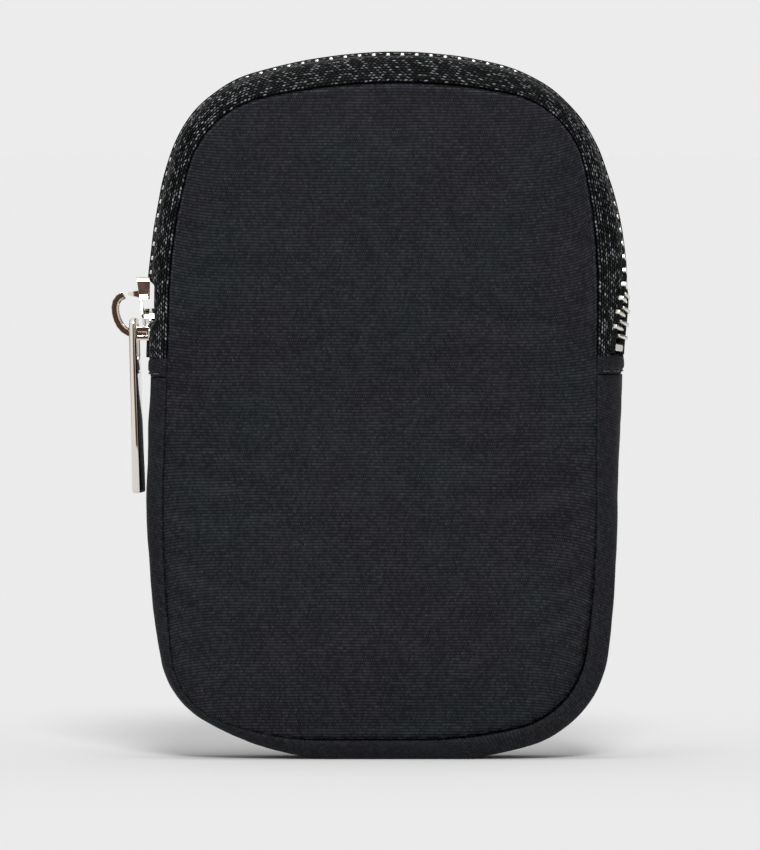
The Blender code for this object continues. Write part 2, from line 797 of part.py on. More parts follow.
def make_slider(slider, chrome):
    """A cast body of two plates joined by its wedge, flanged round the tapes at the tail, with a
    lug and the bail that the puller hangs on. The outer plate rises towards the tail."""
    place = CHAIN.frame(SLIDER_RUN)
    side_view = place @ Matrix.Rotation(math.radians(90), 4, "X")
    end = SLIDER_LENGTH / 2
    slot_half = FABRIC / 2 + SLOT_CLEAR

    def cast(name, plan, low, high):
        bm = prism(plan, low, high)
        for vert in bm.verts:
            if vert.co.z > (slot_half + PLATE_LOW) / 2 * MILLIMETRE:
                vert.co.z += (vert.co.x + end * MILLIMETRE) * PLATE_LEAN
        return add(name, bm, chrome, slider, place)

    body = cast("slider_body", slider_outline(SLIDER_WALL), -PLATE_HIGH, PLATE_HIGH)
    shaped(body, "DIFFERENCE", cast("channel", slider_outline(0.0), -PLATE_LOW, PLATE_LOW))
    over = end + CUT_OVER
    wide = NOSE_HALF + CUT_OVER
    slot_plan = mirrored([(-over, wide), (over, wide)])
    shaped(body, "DIFFERENCE", cast("slot", slot_plan, -slot_half, slot_half))
    mid_plate = PLATE_LOW + PLATE / 2
    shaped(body, "UNION", cast("wedge", wedge_outline(), -mid_plate, mid_plate))
    root = mid_plate + (LUG_MIDDLE + end) * PLATE_LEAN
    lug_outline = [
        (LUG_MIDDLE - LUG_ROOT, root),
        (LUG_MIDDLE + LUG_ROOT, root),
        (LUG_MIDDLE + LUG_TIP, LUG_REACH),
        (LUG_MIDDLE - LUG_TIP, LUG_REACH),
    ]
    lug = add("lug", prism(lug_outline, -BAIL_HALF, BAIL_HALF), chrome, slider, side_view)
    shaped(body, "UNION", lug)
    bail = add("slider_bail", prism(bail_outline(), -BAIL_HALF, BAIL_HALF), chrome, slider, side_view)
    softened(bail, BAIL_EDGE)


def puller_place():
    """Matrix of the puller: origin on its pin, X down its length and Z through its thickness."""
    place = CHAIN.frame(SLIDER_RUN)
    pin = place @ (Vector((PIN_ALONG, 0, PIN_OUT)) * MILLIMETRE)
    turn = Matrix.Rotation(math.radians(-PULLER_TURN), 4, "Z")
    hang = Matrix.Rotation(math.radians(90 - PULLER_LEAN), 4, "Y")
    return Matrix.Translation(pin) @ turn @ hang


def make_puller(puller, chrome):
    """The flat bar that opens the zip, with an eye at its top. It thickens towards its foot."""
    place = puller_place()
    half = PULLER_THICK / 2
    eye = PULLER_BAR / 2
    plan = bar_outline((-eye, PULLER_LENGTH - eye), PULLER_WIDTH, EYE_CORNER, FOOT_CORNER)
    solid = prism(plan, -half, half)
    growth = (FOOT_THICK / PULLER_THICK - 1) / PULLER_LENGTH
    for vert in solid.verts:
        vert.co.z *= 1 + growth * (vert.co.x / MILLIMETRE + eye)
    bar = add("puller_bar", solid, chrome, puller, place)
    softened(bar, BAR_EDGE)
    hole = bar_outline((eye, eye + WINDOW_LENGTH), WINDOW_WIDTH, WINDOW_CORNER, WINDOW_CORNER)
    cut = FOOT_THICK / 2 + CUT_OVER
    window = add("window", prism(hole, -cut, cut), chrome, puller, place)
    shaped(bar, "DIFFERENCE", window)


def build():
    clear_scene()
    nylon = material("ribbed_nylon", "#28282C", 0.75, 0.0)
    foam = material("foam_padding", "#3A3A3E", 0.95, 0.0)
    lining = material("woven_lining", "#1C1C20", 0.8, 0.0)
    tape = material("zip_tape", "#232325", 0.8, 0.0)
    metal = material("nickel_teeth", "#C9C7C0", 0.25, 1.0)
    chrome = material("polished_slider", "#D1CDC7", 0.12, 1.0)
    pouch = carrier("pouch", (0, 0, 0))
    flap = carrier("front_flap", (0, -SEAM_HALF - CROWN, FOLD), pouch)
    arc_centre = (UPPER_LEFT.side - UPPER_LEFT.reach, 0, UPPER_LEFT.widest)
    slider = carrier("slider", arc_centre, pouch)
    puller = carrier("puller", puller_place().translation / MILLIMETRE, slider)
    make_panels(pouch, flap, nylon, foam, lining)
    make_gusset(pouch, nylon, foam, lining)
    make_tabs(pouch, nylon)
    make_tapes(pouch, flap, tape)
    make_teeth(pouch, flap, metal)
    make_slider(slider, chrome)
    make_puller(puller, chrome)
    pin = puller_place().translation / MILLIMETRE
    start = math.degrees(math.asin((SLIDER_AT - UPPER_LEFT.widest) / UPPER_LEFT.side))
    top = TRAVEL_TOP - SLIDER_LENGTH / 2
    end = math.degrees(math.asin((top - UPPER_LEFT.widest) / UPPER_LEFT.side))
    print(f"fold axis at y {-SEAM_HALF - CROWN:.2f}, z {FOLD:.2f} mm")
    print(f"slider turns about x {arc_centre[0]:.2f}, z {arc_centre[2]:.2f} mm by {end - start:.2f} degrees")
    print(f"puller's pin at x {pin.x:.2f}, y {pin.y:.2f}, z {pin.z:.2f} mm")


build()
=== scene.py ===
# %% [markdown]
# This script dresses a small zip-around pouch of black nylon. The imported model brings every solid
# at its real size and place, and this script adds what the eye sees: padded cloth with its seams,
# a knitted zip tape, metal teeth, a cast slider and the light of a small studio.

import math

import bpy
import numpy as np
from mathutils import Matrix, Vector, noise


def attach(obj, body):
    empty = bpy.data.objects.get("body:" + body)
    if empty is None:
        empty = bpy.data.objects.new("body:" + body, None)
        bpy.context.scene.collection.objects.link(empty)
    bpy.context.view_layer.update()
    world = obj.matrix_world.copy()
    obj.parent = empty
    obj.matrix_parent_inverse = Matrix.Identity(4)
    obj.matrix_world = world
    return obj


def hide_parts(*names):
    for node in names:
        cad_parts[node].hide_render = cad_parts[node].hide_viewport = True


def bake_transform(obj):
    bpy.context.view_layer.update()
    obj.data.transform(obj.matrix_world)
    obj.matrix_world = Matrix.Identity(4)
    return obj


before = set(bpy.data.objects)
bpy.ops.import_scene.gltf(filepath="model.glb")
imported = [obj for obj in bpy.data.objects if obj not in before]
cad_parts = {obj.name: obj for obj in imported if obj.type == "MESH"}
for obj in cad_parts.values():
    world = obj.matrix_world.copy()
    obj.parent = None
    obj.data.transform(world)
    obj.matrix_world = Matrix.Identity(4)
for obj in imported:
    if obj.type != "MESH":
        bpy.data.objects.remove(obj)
bpy.ops.object.select_all(action="DESELECT")
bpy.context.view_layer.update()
MM = 0.001

# %% [markdown]
# The cloth is cut from two outlines made of arcs: the pouch halfway between its panels, where the
# zip's teeth run, and the panels themselves. A quarter of an outline is a side arc, a corner arc
# and an end arc, each tangent to the next. A spline through measured points would also do, but
# arcs keep the curve fair and need only a few sizes. These are the sizes that the solids have.


# %% Outlines in arcs
class Quarter:
    """A quarter of an outline, in millimetres: reach and apex along X, widest a height, and radii."""

    def __init__(self, reach, widest, side, corner, end, apex):
        self.reach, self.widest, self.apex = reach, widest, apex
        self.side, self.corner, self.end = side, corner, end


TOP, BOTTOM = 133.0, 0.3
POUCH_QUARTERS = (
    Quarter(reach=44.4, widest=50.0, side=180.0, corner=17.0, end=48.0, apex=-9.0),
    Quarter(reach=43.6, widest=84.0, side=110.0, corner=23.0, end=95.0, apex=3.0),
    Quarter(reach=45.9, widest=86.0, side=78.0, corner=27.0, end=80.0, apex=3.0),
    Quarter(reach=44.4, widest=50.0, side=260.0, corner=20.0, end=52.0, apex=14.0),
)
PANEL_QUARTERS = (
    Quarter(reach=41.3, widest=50.0, side=300.0, corner=14.0, end=62.0, apex=-12.0),
    Quarter(reach=40.1, widest=84.0, side=106.0, corner=18.5, end=120.0, apex=3.0),
    Quarter(reach=40.5, widest=86.0, side=140.0, corner=17.0, end=110.0, apex=3.0),
    Quarter(reach=40.4, widest=50.0, side=180.0, corner=16.5, end=90.0, apex=5.0),
)
PANEL_TOP, PANEL_BOTTOM = TOP - 5.4, BOTTOM + 4.0
SEGMENTS = 15


class Outline:
    """A closed outline. Its parameter runs clockwise from the left end of the flat bottom, with a
    whole number at each joint between arcs: lower left 0 to 3, left side, upper left 4 to 7,
    upper right 7 to 10, right side, lower right 11 to 14, and the flat bottom."""

    def __init__(self, quarters, bottom, top):
        lower_left, upper_left, upper_right, lower_right = quarters
        self.parts = [
            *reversed(self.arcs(lower_left, -1, -1, bottom)),
            None,
            *self.arcs(upper_left, -1, 1, top),
            *reversed(self.arcs(upper_right, 1, 1, top)),
            None,
            *self.arcs(lower_right, 1, -1, bottom),
            None,
        ]
        self.backwards = {0, 1, 2, 7, 8, 9}

    @staticmethod
    def arcs(quarter, side, up, end_height):
        """Side, corner and end arc of one quarter, turned to point right and up."""
        rise = up * (end_height - quarter.widest)
        side_centre = Vector((quarter.reach - quarter.side, 0.0))
        end_centre = Vector((side * quarter.apex, rise - quarter.end))
        apart = end_centre - side_centre
        a, b = quarter.side - quarter.corner, quarter.end - quarter.corner
        along = (a * a - b * b + apart.length_squared) / (2 * apart.length)
        off = math.sqrt(max(a * a - along * along, 0.0))
        unit = apart.normalized()
        normal = Vector((-unit.y, unit.x))
        corners = [side_centre + unit * along + normal * off * s for s in (1, -1)]
        corner = max(corners, key=lambda c: c.x + c.y)
        low = math.atan2(corner.y - side_centre.y, corner.x - side_centre.x)
        high = math.atan2(corner.y - end_centre.y, corner.x - end_centre.x)
        turn = (side, up, quarter.widest)
        return [
            (side_centre, quarter.side, 0.0, low, turn),
            (corner, quarter.corner, low, high, turn),
            (end_centre, quarter.end, high, math.pi / 2, turn),
        ]

    @staticmethod
    def on_arc(part, t):
        centre, radius, first, last, (side, up, widest) = part
        angle = first + (last - first) * t
        x = centre.x + radius * math.cos(angle)
        z = centre.y + radius * math.sin(angle)
        return Vector((side * x, widest + up * z))

    def point(self, u):
        """(x, z) in millimetres at parameter u."""
        u %= SEGMENTS
        k = min(int(u), SEGMENTS - 1)
        t = u - k
        part = self.parts[k]
        if part is None:
            start = self.on_arc(self.parts[k - 1], 0.0 if k - 1 in self.backwards else 1.0)
            after = (k + 1) % SEGMENTS
            end = self.on_arc(self.parts[after], 1.0 if after in self.backwards else 0.0)
            return start.lerp(end, t)
        return self.on_arc(part, 1 - t if k in self.backwards else t)


POUCH = Outline(POUCH_QUARTERS, BOTTOM, TOP)
PANEL = Outline(PANEL_QUARTERS, PANEL_BOTTOM, PANEL_TOP)
PANEL_CENTRE = np.array((2.5, (TOP + BOTTOM) / 2))
print("pouch is widest at", round(POUCH.point(3.0).x, 1), "and", round(POUCH.point(10.0).x, 1), "mm")

# %% [markdown]
# Between the panels runs a band: zip tape over the top, fabric gusset round the bottom. Across its
# middle it lies level, and towards each seam it curves in to meet the panel. One function gives
# any point of that skin from a place along the outline and a depth, so tape, gusset, tabs and
# teeth all lie on the same surface.

# %% The skin of the band
SEAM_HALF = 11.0
FLAT_BASE, FLAT_SLIDER, FLAT_PLAIN = 7.5, 5.95, 2.0
TAB_LOW, TAB_HIGH = 72.4, 76.2
LEAN_TOP, RIGHT_SHIFT, SOLID_SHIFT = 108.0, 6.2, 5.0
GAP = 0.3


def smooth(t):
    """0 below 0, 1 above 1, and a smooth rise between."""
    t = min(max(t, 0.0), 1.0)
    return t * t * (3 - 2 * t)


def lean(place):
    """0 to 1 down the right side, where the zip leans to the front."""
    return 0.0 if place.x < 0 else smooth((LEAN_TOP - place.y) / (LEAN_TOP - TAB_HIGH))


def chain_depth(u):
    """Y of the middle of the teeth."""
    return -RIGHT_SHIFT * lean(POUCH.point(u))


def solid_depth(u):
    """The same in the solids, where the zip leans a little less."""
    return -SOLID_SHIFT * lean(POUCH.point(u))


def flat_half(place):
    """Half width of the strip that runs level between the panels."""
    flat = FLAT_SLIDER + (FLAT_PLAIN - FLAT_SLIDER) * lean(place)
    base = smooth((TAB_LOW - place.y) / (TAB_LOW - POUCH_QUARTERS[0].corner))
    return flat + (FLAT_BASE - flat) * base


def skin(u, y):
    """The middle of the fabric or tape, in millimetres."""
    middle = POUCH.point(u)
    flat = flat_half(middle)
    share = max(0.0, (abs(y) - flat) / (SEAM_HALF - flat)) ** 2
    place = middle.lerp(PANEL.point(u), share)
    return Vector((place.x, y, place.y))


def outward(u, y):
    """Unit normal of the skin."""
    along = skin(u + 0.01, y) - skin(u - 0.01, y)
    across = skin(u, y + 0.05) - skin(u, y - 0.05)
    return along.cross(across).normalized()


def height_at(height, low, high, rising):
    """Parameter between low and high where the outline passes a height."""
    for _ in range(40):
        middle = (low + high) / 2
        if (POUCH.point(middle).y < height) == rising:
            low = middle
        else:
            high = middle
    return low


def left_at(height):
    return height_at(height, 1.0, 6.5, True)


def right_at(height):
    return height_at(height, 7.5, 13.0, False)


# %% [markdown]
# Lengths along the band matter too: teeth stand 2.7 mm apart, and stitches 3.9 mm. A run is
# a table of distance against parameter, so a place can be asked for by either.


# %% Distances along the band
class Run:
    """Distance along a line on the skin, from parameter first to last."""

    def __init__(self, first, last, depth, count=900):
        self.us = np.linspace(first, last, count)
        points = np.array([skin(u, depth(u)) for u in self.us])
        steps = np.linalg.norm(np.diff(points, axis=0), axis=1)
        self.runs = np.concatenate(([0.0], np.cumsum(steps)))
        self.length = float(self.runs[-1])
        self.depth = depth

    def u_at(self, run):
        return float(np.interp(run, self.runs, self.us))

    def run_at(self, u):
        return float(np.interp(u, self.us, self.runs))

    def frame(self, run):
        """Matrix in millimetres: axes along the line, across it towards the back, and outwards."""
        u = self.u_at(run)
        before, after = u - 0.01, u + 0.01
        along = (skin(after, self.depth(after)) - skin(before, self.depth(before))).normalized()
        out = outward(u, self.depth(u))
        across = out.cross(along).normalized()
        out = along.cross(across)
        turn = Matrix((along, across, out)).transposed().to_4x4()
        return Matrix.Translation(skin(u, self.depth(u))) @ turn


CHAIN = Run(left_at(TAB_HIGH + GAP), right_at(TAB_HIGH + GAP), chain_depth)
SLIDER_RUN = CHAIN.run_at(left_at(86.6))
print("zip chain:", round(CHAIN.length, 1), "mm, slider at", round(SLIDER_RUN, 1), "mm")

# %% [markdown]
# The photograph was taken from straight in front, a little above the table, and with so long a lens
# that the front isn't drawn larger than the back. The camera stands 2.7 m away, and its frame takes
# in 161.5 mm of height at the pouch.

# %% Camera
LENS, SENSOR = 600.0, 36.0
FRAME_HEIGHT = 161.5 * MM
AIM = Vector((-0.4, 0.0, 63.15)) * MM
LOOK_DOWN = math.radians(1.2)

distance = FRAME_HEIGHT * LENS / SENSOR
bpy.ops.object.camera_add()
camera = bpy.context.object
camera.name = "photo_camera"
camera.location = AIM + Vector((0, -math.cos(LOOK_DOWN), math.sin(LOOK_DOWN))) * distance
camera.rotation_euler = (math.pi / 2 - LOOK_DOWN, 0, 0)
camera.data.lens = LENS
camera.data.sensor_width = SENSOR
camera.data.clip_start, camera.data.clip_end = 0.01, 100
bpy.context.scene.camera = camera
bpy.context.scene.view_settings.view_transform = "Standard"
print("camera distance in m:", round(distance, 3))

# %% [markdown]
# Every finish is a node material. Colours are written as sRGB hex, as a paint chart has them, and
# one function turns them linear. One more function adds a node with its settings and links. Given
# another node as a value, it takes that node's first output, so sums can be written inside sums.


# %% Material helpers
def linear(colour):
    """Linear RGBA of an sRGB hex colour."""
    channels = [int(colour[i : i + 2], 16) / 255 for i in (1, 3, 5)]
    return (*[c / 12.92 if c <= 0.04045 else ((c + 0.055) / 1.055) ** 2.4 for c in channels], 1)


def add(tree, kind, *values, **settings):
    """Adds one node. Each value is a number, colour, socket or node for the next input, or a
    dictionary of them by the input's name. Settings are the node's own properties."""
    made = tree.nodes.new("ShaderNode" + kind)
    for key, value in settings.items():
        setattr(made, key, value)
    inputs = {}
    for place, value in enumerate(values):
        inputs.update(value if isinstance(value, dict) else {place: value})
    for key, value in inputs.items():
        if isinstance(value, bpy.types.Node):
            value = value.outputs[0]
        if isinstance(value, bpy.types.NodeSocket):
            tree.links.new(value, made.inputs[key])
        else:
            made.inputs[key].default_value = value
    return made


def finish(name, **values):
    """A new material with its shader's own values set. Returns the material, tree and shader."""
    made = bpy.data.materials.new(name)
    made.use_nodes = True
    shader = made.node_tree.nodes["Principled BSDF"]
    for key, value in values.items():
        shader.inputs[key.replace("_", " ")].default_value = value
    return made, made.node_tree, shader


# %% [markdown]
# The body is ribbed nylon: a plain weave whose weft threads lie 0.56 mm apart and draw fine level
# lines, and whose warp breaks each line into short dashes, row by row like bricks. Near a panel's
# edges the cloth is pulled round, so there the ribs fan out from level, up above the middle and
# down below it.

# %% Ribs pulled round the edge
RIB, DASH = 0.56 * MM, 0.44 * MM
PULL_LEFT, PULL_RIGHT, PULL_REACH = -38.5 * MM, 37.5 * MM, 4.0 * MM
PULL_HEIGHT, PULL_FAN = 62.0 * MM, 0.043


def pulled(tree, x, z):
    """How far the ribs stray from level at a place on a panel."""
    past_right = add(tree, "Math", x, PULL_RIGHT, operation="SUBTRACT")
    past_left = add(tree, "Math", PULL_LEFT, x, operation="SUBTRACT")
    right = add(tree, "Math", past_right, PULL_REACH, operation="DIVIDE")
    left = add(tree, "Math", past_left, PULL_REACH, operation="DIVIDE")
    near_right = add(tree, "Math", right, operation="EXPONENT")
    near_left = add(tree, "Math", add(tree, "Math", left, operation="EXPONENT"), 0.6, operation="MULTIPLY")
    near = add(tree, "Math", near_right, near_left, operation="ADD")
    above = add(tree, "Math", z, PULL_HEIGHT, operation="SUBTRACT")
    arm = add(tree, "Math", above, -PULL_FAN, operation="MULTIPLY")
    return add(tree, "Math", arm, near, operation="MULTIPLY")


# %% [markdown]
# Single threads differ in tone, and over centimetres the dye drifts between a violet and a bluish
# black. A few threads are painted brighter as glints. On the panels the ribs follow height, and on the
# gusset the distance along it, kept in the UV map. The panels also carry an attribute that says where
# their rolled edge gets a painted highlight, stronger towards the top.


# %% Ribbed nylon
OFF_GRAIN = -0.25
THREAD_SPAN, THREAD_LEAST = 0.85, 0.6
GLINT_ABOVE, GLINT = 0.985, 0.7
# Painted shade: the colour is made darker between the ribs, where the grooves lie in shade.
PANEL_RIB_SHADING, STRIP_RIB_SHADING = (1.75, 0.16), (1.0, 0.53)  # on the ribs, and between them
EDGE_SHEEN_GAIN = 2.2


def ribbed_nylon(name, on_panel):
    """Nylon whose ribs follow height on a panel, or the first UV axis on a strip."""
    made, tree, shader = finish(name, Roughness=0.6, Specular_IOR_Level=0.1)
    if on_panel:
        source = add(tree, "TexCoord").outputs["Object"]
        split = add(tree, "SeparateXYZ", source)
        along, up = split.outputs["X"], split.outputs["Z"]
        up = add(tree, "Math", up, pulled(tree, along, up), operation="ADD")
    else:
        source = add(tree, "UVMap", uv_map="cloth").outputs[0]
        split = add(tree, "SeparateXYZ", source)
        along = split.outputs["Y"]
        off_grain = add(tree, "Math", along, OFF_GRAIN, operation="MULTIPLY")
        up = add(tree, "Math", split.outputs["X"], off_grain, operation="ADD")
    waver = add(tree, "TexNoise", {"Vector": source, "Scale": 90.0, "Detail": 2.0})
    shift = add(tree, "Math", waver.outputs["Fac"], 0.5 * MM, operation="MULTIPLY")
    rows = add(tree, "Math", add(tree, "Math", up, shift, operation="ADD"), RIB, operation="DIVIDE")
    row = add(tree, "Math", rows, operation="FLOOR")
    brick = add(tree, "Math", add(tree, "Math", row, 1.0, operation="PINGPONG"), 0.5, operation="MULTIPLY")
    places = add(tree, "Math", add(tree, "Math", along, DASH, operation="DIVIDE"), brick, operation="ADD")
    column = add(tree, "Math", places, operation="FLOOR")
    v = add(tree, "Math", add(tree, "Math", rows, operation="FRACT"), 0.5, operation="SUBTRACT")
    h = add(tree, "Math", add(tree, "Math", places, operation="FRACT"), 0.5, operation="SUBTRACT")
    fall = add(tree, "Math", add(tree, "Math", v, 2.0, operation="POWER"), 4.0, operation="MULTIPLY")
    over = add(tree, "Math", 1.0, fall, operation="SUBTRACT")
    patch = add(tree, "TexNoise", {"Vector": source, "Scale": 210.0, "Detail": 2.0})
    broken = add(tree, "MapRange", {"Value": patch.outputs["Fac"], "From Min": 0.35, "From Max": 0.65})
    broken.inputs["To Min"].default_value, broken.inputs["To Max"].default_value = 0.4, 3.2
    dip = add(tree, "Math", add(tree, "Math", h, 2.0, operation="POWER"), broken, operation="MULTIPLY")
    hump = add(tree, "Math", over, add(tree, "Math", 1.0, dip, operation="SUBTRACT"), operation="MULTIPLY")
    cell = add(tree, "CombineXYZ", column, row)
    chance = add(tree, "TexWhiteNoise", cell).outputs["Value"]
    # Painted glints: a few threads get a brighter colour, standing in for highlights.
    rare = add(tree, "Math", chance, GLINT_ABOVE, operation="GREATER_THAN")
    bright = add(tree, "Math", rare, GLINT, operation="MULTIPLY")
    glint = add(tree, "Math", bright, hump, operation="MULTIPLY")
    thread = add(tree, "Math", chance, THREAD_SPAN, operation="MULTIPLY")
    thread = add(tree, "Math", thread, THREAD_LEAST, operation="ADD")
    # Tone on the ribs, with painted shade in the grooves between them.
    on_ribs, between = PANEL_RIB_SHADING if on_panel else STRIP_RIB_SHADING
    lit = add(tree, "Math", hump, on_ribs, operation="MULTIPLY")
    lit = add(tree, "Math", lit, between, operation="ADD")
    tone = add(tree, "Math", add(tree, "Math", lit, thread, operation="MULTIPLY"), glint, operation="ADD")
    if on_panel:
        # Painted highlight: the panels' rolled edges are made paler, where light would catch them.
        painted_edge_sheen = add(tree, "Attribute", attribute_name="painted_edge_sheen").outputs["Fac"]
        painted_rim = add(tree, "Math", painted_edge_sheen, EDGE_SHEEN_GAIN, operation="MULTIPLY")
        painted_rim = add(tree, "Math", painted_rim, 1.0, operation="ADD")
        tone = add(tree, "Math", tone, painted_rim, operation="MULTIPLY")
    drift = add(tree, "TexNoise", {"Vector": source, "Scale": 60.0, "Detail": 3.0})
    dye = add(tree, "MapRange", {"Value": drift.outputs["Fac"], "From Min": 0.35, "From Max": 0.65})
    tint = add(tree, "Mix", {"Factor": dye}, data_type="RGBA")
    tint.inputs["A"].default_value = linear("#1A191E")
    tint.inputs["B"].default_value = linear("#181B1E")
    colour = add(tree, "VectorMath", tint.outputs["Result"], tone, operation="MULTIPLY")
    tree.links.new(colour.outputs[0], shader.inputs["Base Color"])
    bump = add(tree, "Bump", {"Height": hump, "Strength": 0.6, "Distance": 0.07 * MM})
    tree.links.new(bump.outputs[0], shader.inputs["Normal"])
    return made


PANEL_NYLON = ribbed_nylon("ribbed_nylon_panel", True)
STRIP_NYLON = ribbed_nylon("ribbed_nylon_strip", False)
print("ribbed nylon has", len(PANEL_NYLON.node_tree.nodes), "nodes")

# %% [markdown]
# The lining is a plain black taffeta, smoother than the nylon outside. Its threads are too fine to
# show, so a faint grid at 0.5 mm stands for them.

# %% Lining
LINING_CLOTH, tree, shader = finish("lining_taffeta", Roughness=0.55, Specular_IOR_Level=0.25)
place = add(tree, "TexCoord")
threads = add(tree, "TexChecker", {"Vector": place.outputs["Object"], "Scale": 1 / (0.5 * MM)})
threads.inputs["Color1"].default_value = linear("#19191C")
threads.inputs["Color2"].default_value = linear("#131316")
tree.links.new(threads.outputs["Color"], shader.inputs["Base Color"])
weave = add(tree, "Bump", {"Height": threads.outputs["Fac"], "Strength": 0.3, "Distance": 0.05 * MM})
tree.links.new(weave.outputs[0], shader.inputs["Normal"])

# %% [markdown]
# A metal zip's tape is knitted of bright polyester yarn. Its loops stand in columns 0.55 mm apart
# and are 0.85 mm long, slanted one way in one column and the other way in the next. The UV map gives
# distances along and across the tape, and the column and the place in it are worked out from those.

# %% Knitted zip tape: places of the loops
COLUMN, LOOP = 0.55 * MM, 0.85 * MM
STRAY, SLANT = 0.42 * MM, 0.8
KNIT_TAPE, tree, shader = finish("knitted_tape", Roughness=0.5, Specular_IOR_Level=0.05)
where = add(tree, "UVMap", uv_map="cloth")
wobble = add(tree, "TexNoise", {"Vector": where, "Scale": 1300.0, "Detail": 1.0}).outputs["Color"]
centred = add(tree, "VectorMath", wobble, (0.5, 0.5, 0.5), operation="SUBTRACT")
nudge = add(tree, "VectorMath", centred, {"Scale": STRAY}, operation="SCALE")
split = add(tree, "SeparateXYZ", add(tree, "VectorMath", where, nudge, operation="ADD"))
across = add(tree, "Math", split.outputs["Y"], COLUMN, operation="DIVIDE")
column = add(tree, "Math", across, operation="FLOOR")
side_way = add(tree, "Math", add(tree, "Math", across, operation="FRACT"), 0.5, operation="SUBTRACT")
odd = add(tree, "Math", add(tree, "Math", column, 1.0, operation="PINGPONG"), 1.4, operation="MULTIPLY")
slant = add(tree, "Math", add(tree, "Math", odd, 0.5, operation="SUBTRACT"), SLANT, operation="MULTIPLY")
tilt = add(tree, "Math", slant, side_way, operation="MULTIPLY")
steps = add(tree, "Math", split.outputs["X"], LOOP, operation="DIVIDE")
steps = add(tree, "Math", steps, add(tree, "Math", column, 0.55, operation="MULTIPLY"), operation="ADD")
steps = add(tree, "Math", steps, tilt, operation="ADD")
row = add(tree, "Math", steps, operation="FLOOR")
long_way = add(tree, "Math", add(tree, "Math", steps, operation="FRACT"), 0.5, operation="SUBTRACT")

# %% [markdown]
# Each loop is a small round hump, and its colour darkens towards its edge as painted shade in the gap
# round it. A white noise per loop runs through a ramp from dark to bright: a random tone per loop,
# with painted shade on most loops and painted glints on some.

# %% Knitted zip tape: humps and tones
HUMP_WIDE, HUMP_TALL = 0.32, 0.44
wide = add(tree, "Math", side_way, HUMP_WIDE, operation="DIVIDE")
wide = add(tree, "Math", wide, 2.0, operation="POWER")
tall = add(tree, "Math", long_way, HUMP_TALL, operation="DIVIDE")
tall = add(tree, "Math", tall, 2.0, operation="POWER")
left_over = add(tree, "Math", 1.0, add(tree, "Math", wide, tall, operation="ADD"), operation="SUBTRACT")
hump = add(tree, "Math", left_over, 0.0, operation="MAXIMUM")
chance = add(tree, "TexWhiteNoise", add(tree, "CombineXYZ", column, row)).outputs["Value"]
# Painted shade and glints: each loop's tone runs from dark to bright.
loop_tone_and_glint = add(tree, "ValToRGB", chance)
loop_tone_and_glint.color_ramp.elements[0].position, loop_tone_and_glint.color_ramp.elements[0].color = 0.0, linear("#1A1B1D")
loop_tone_and_glint.color_ramp.elements[1].position, loop_tone_and_glint.color_ramp.elements[1].color = 1.0, linear("#ABB0B3")
loop_tone_and_glint.color_ramp.elements.new(0.55).color = linear("#404346")
# Painted shade: the colour darkens towards each loop's edge and into the gaps.
lit = add(tree, "Math", add(tree, "Math", hump, 0.99, operation="MULTIPLY"), 0.01, operation="ADD")
shade = add(tree, "VectorMath", loop_tone_and_glint, lit, operation="MULTIPLY")
tree.links.new(shade.outputs[0], shader.inputs["Base Color"])
knit_bump = add(tree, "Bump", {"Height": hump, "Strength": 1.0, "Distance": 0.2 * MM})
tree.links.new(knit_bump.outputs[0], shader.inputs["Normal"])
print("knitted tape has", len(tree.nodes), "nodes")

# %% [markdown]
# The sewing thread is bonded polyester, twisted from three plies. The twist shows as fine slanted
# bands 0.3 mm apart, and the thread is smoother than the cloth. The same thread gets two tones: black
# in the seams, partly its own colour and partly painted shade, and a paler grey on the tabs, a painted
# glint.


# %% Sewing thread
TWIST = 0.3 * MM


def sewing_thread(name, dark, pale):
    """Twisted thread between two tones."""
    made, tree, shader = finish(name, Roughness=0.5, Specular_IOR_Level=0.12)
    place = add(tree, "TexCoord").outputs["Object"]
    turns = 1 / (TWIST * 2 * math.pi)
    plies = add(tree, "TexWave", {"Vector": place, "Scale": turns}, bands_direction="DIAGONAL")
    plies.inputs["Distortion"].default_value = 1.5
    tone = add(tree, "Mix", {"Factor": plies.outputs["Fac"]}, data_type="RGBA")
    tone.inputs["A"].default_value = linear(dark)
    tone.inputs["B"].default_value = linear(pale)
    tree.links.new(tone.outputs["Result"], shader.inputs["Base Color"])
    bump = add(tree, "Bump", {"Height": plies.outputs["Fac"], "Strength": 0.5, "Distance": 0.06 * MM})
    tree.links.new(bump.outputs[0], shader.inputs["Normal"])
    return made


# Painted shade in the seams and a painted glint on the tabs: one thread in two tones.
SHADED_SEAM_THREAD = sewing_thread("bonded_thread_shaded", "#0B0B0C", "#1E2022")
GLINTING_TAB_THREAD = sewing_thread("bonded_thread_glinting", "#1C1E20", "#4E5356")

# %% [markdown]
# The metal is nickel-plated zinc and brass. Nickel is a shade warmer than chrome. The teeth are
# tumbled, so a little rough, and the slider and puller are polished, with faint wear in noise.


# %% Nickel
def nickel(name, colour, low, high):
    """Plated metal whose roughness drifts between two values."""
    made, tree, shader = finish(name, Metallic=1.0, Base_Color=linear(colour))
    place = add(tree, "TexCoord").outputs["Object"]
    smears = add(tree, "TexNoise", {"Vector": place, "Scale": 260.0, "Detail": 4.0}).outputs["Fac"]
    rough = add(tree, "MapRange", {"Value": smears, "To Min": low, "To Max": high})
    tree.links.new(rough.outputs[0], shader.inputs["Roughness"])
    ripple = add(tree, "Bump", {"Height": smears, "Strength": 0.12, "Distance": 0.05 * MM})
    tree.links.new(ripple.outputs[0], shader.inputs["Normal"])
    return made


TOOTH_METAL = nickel("tumbled_nickel", "#E3E1DA", 0.22, 0.4)
CAST_METAL = nickel("polished_nickel", "#E6E2DB", 0.03, 0.08)

# %% [markdown]
# Soft pieces are made as sheets of points. A closed sheet has an outer and an inner side, joined
# round its edge, so that it is a real solid with faces pointing out. It also gets a UV map in
# metres, which the strip materials read.


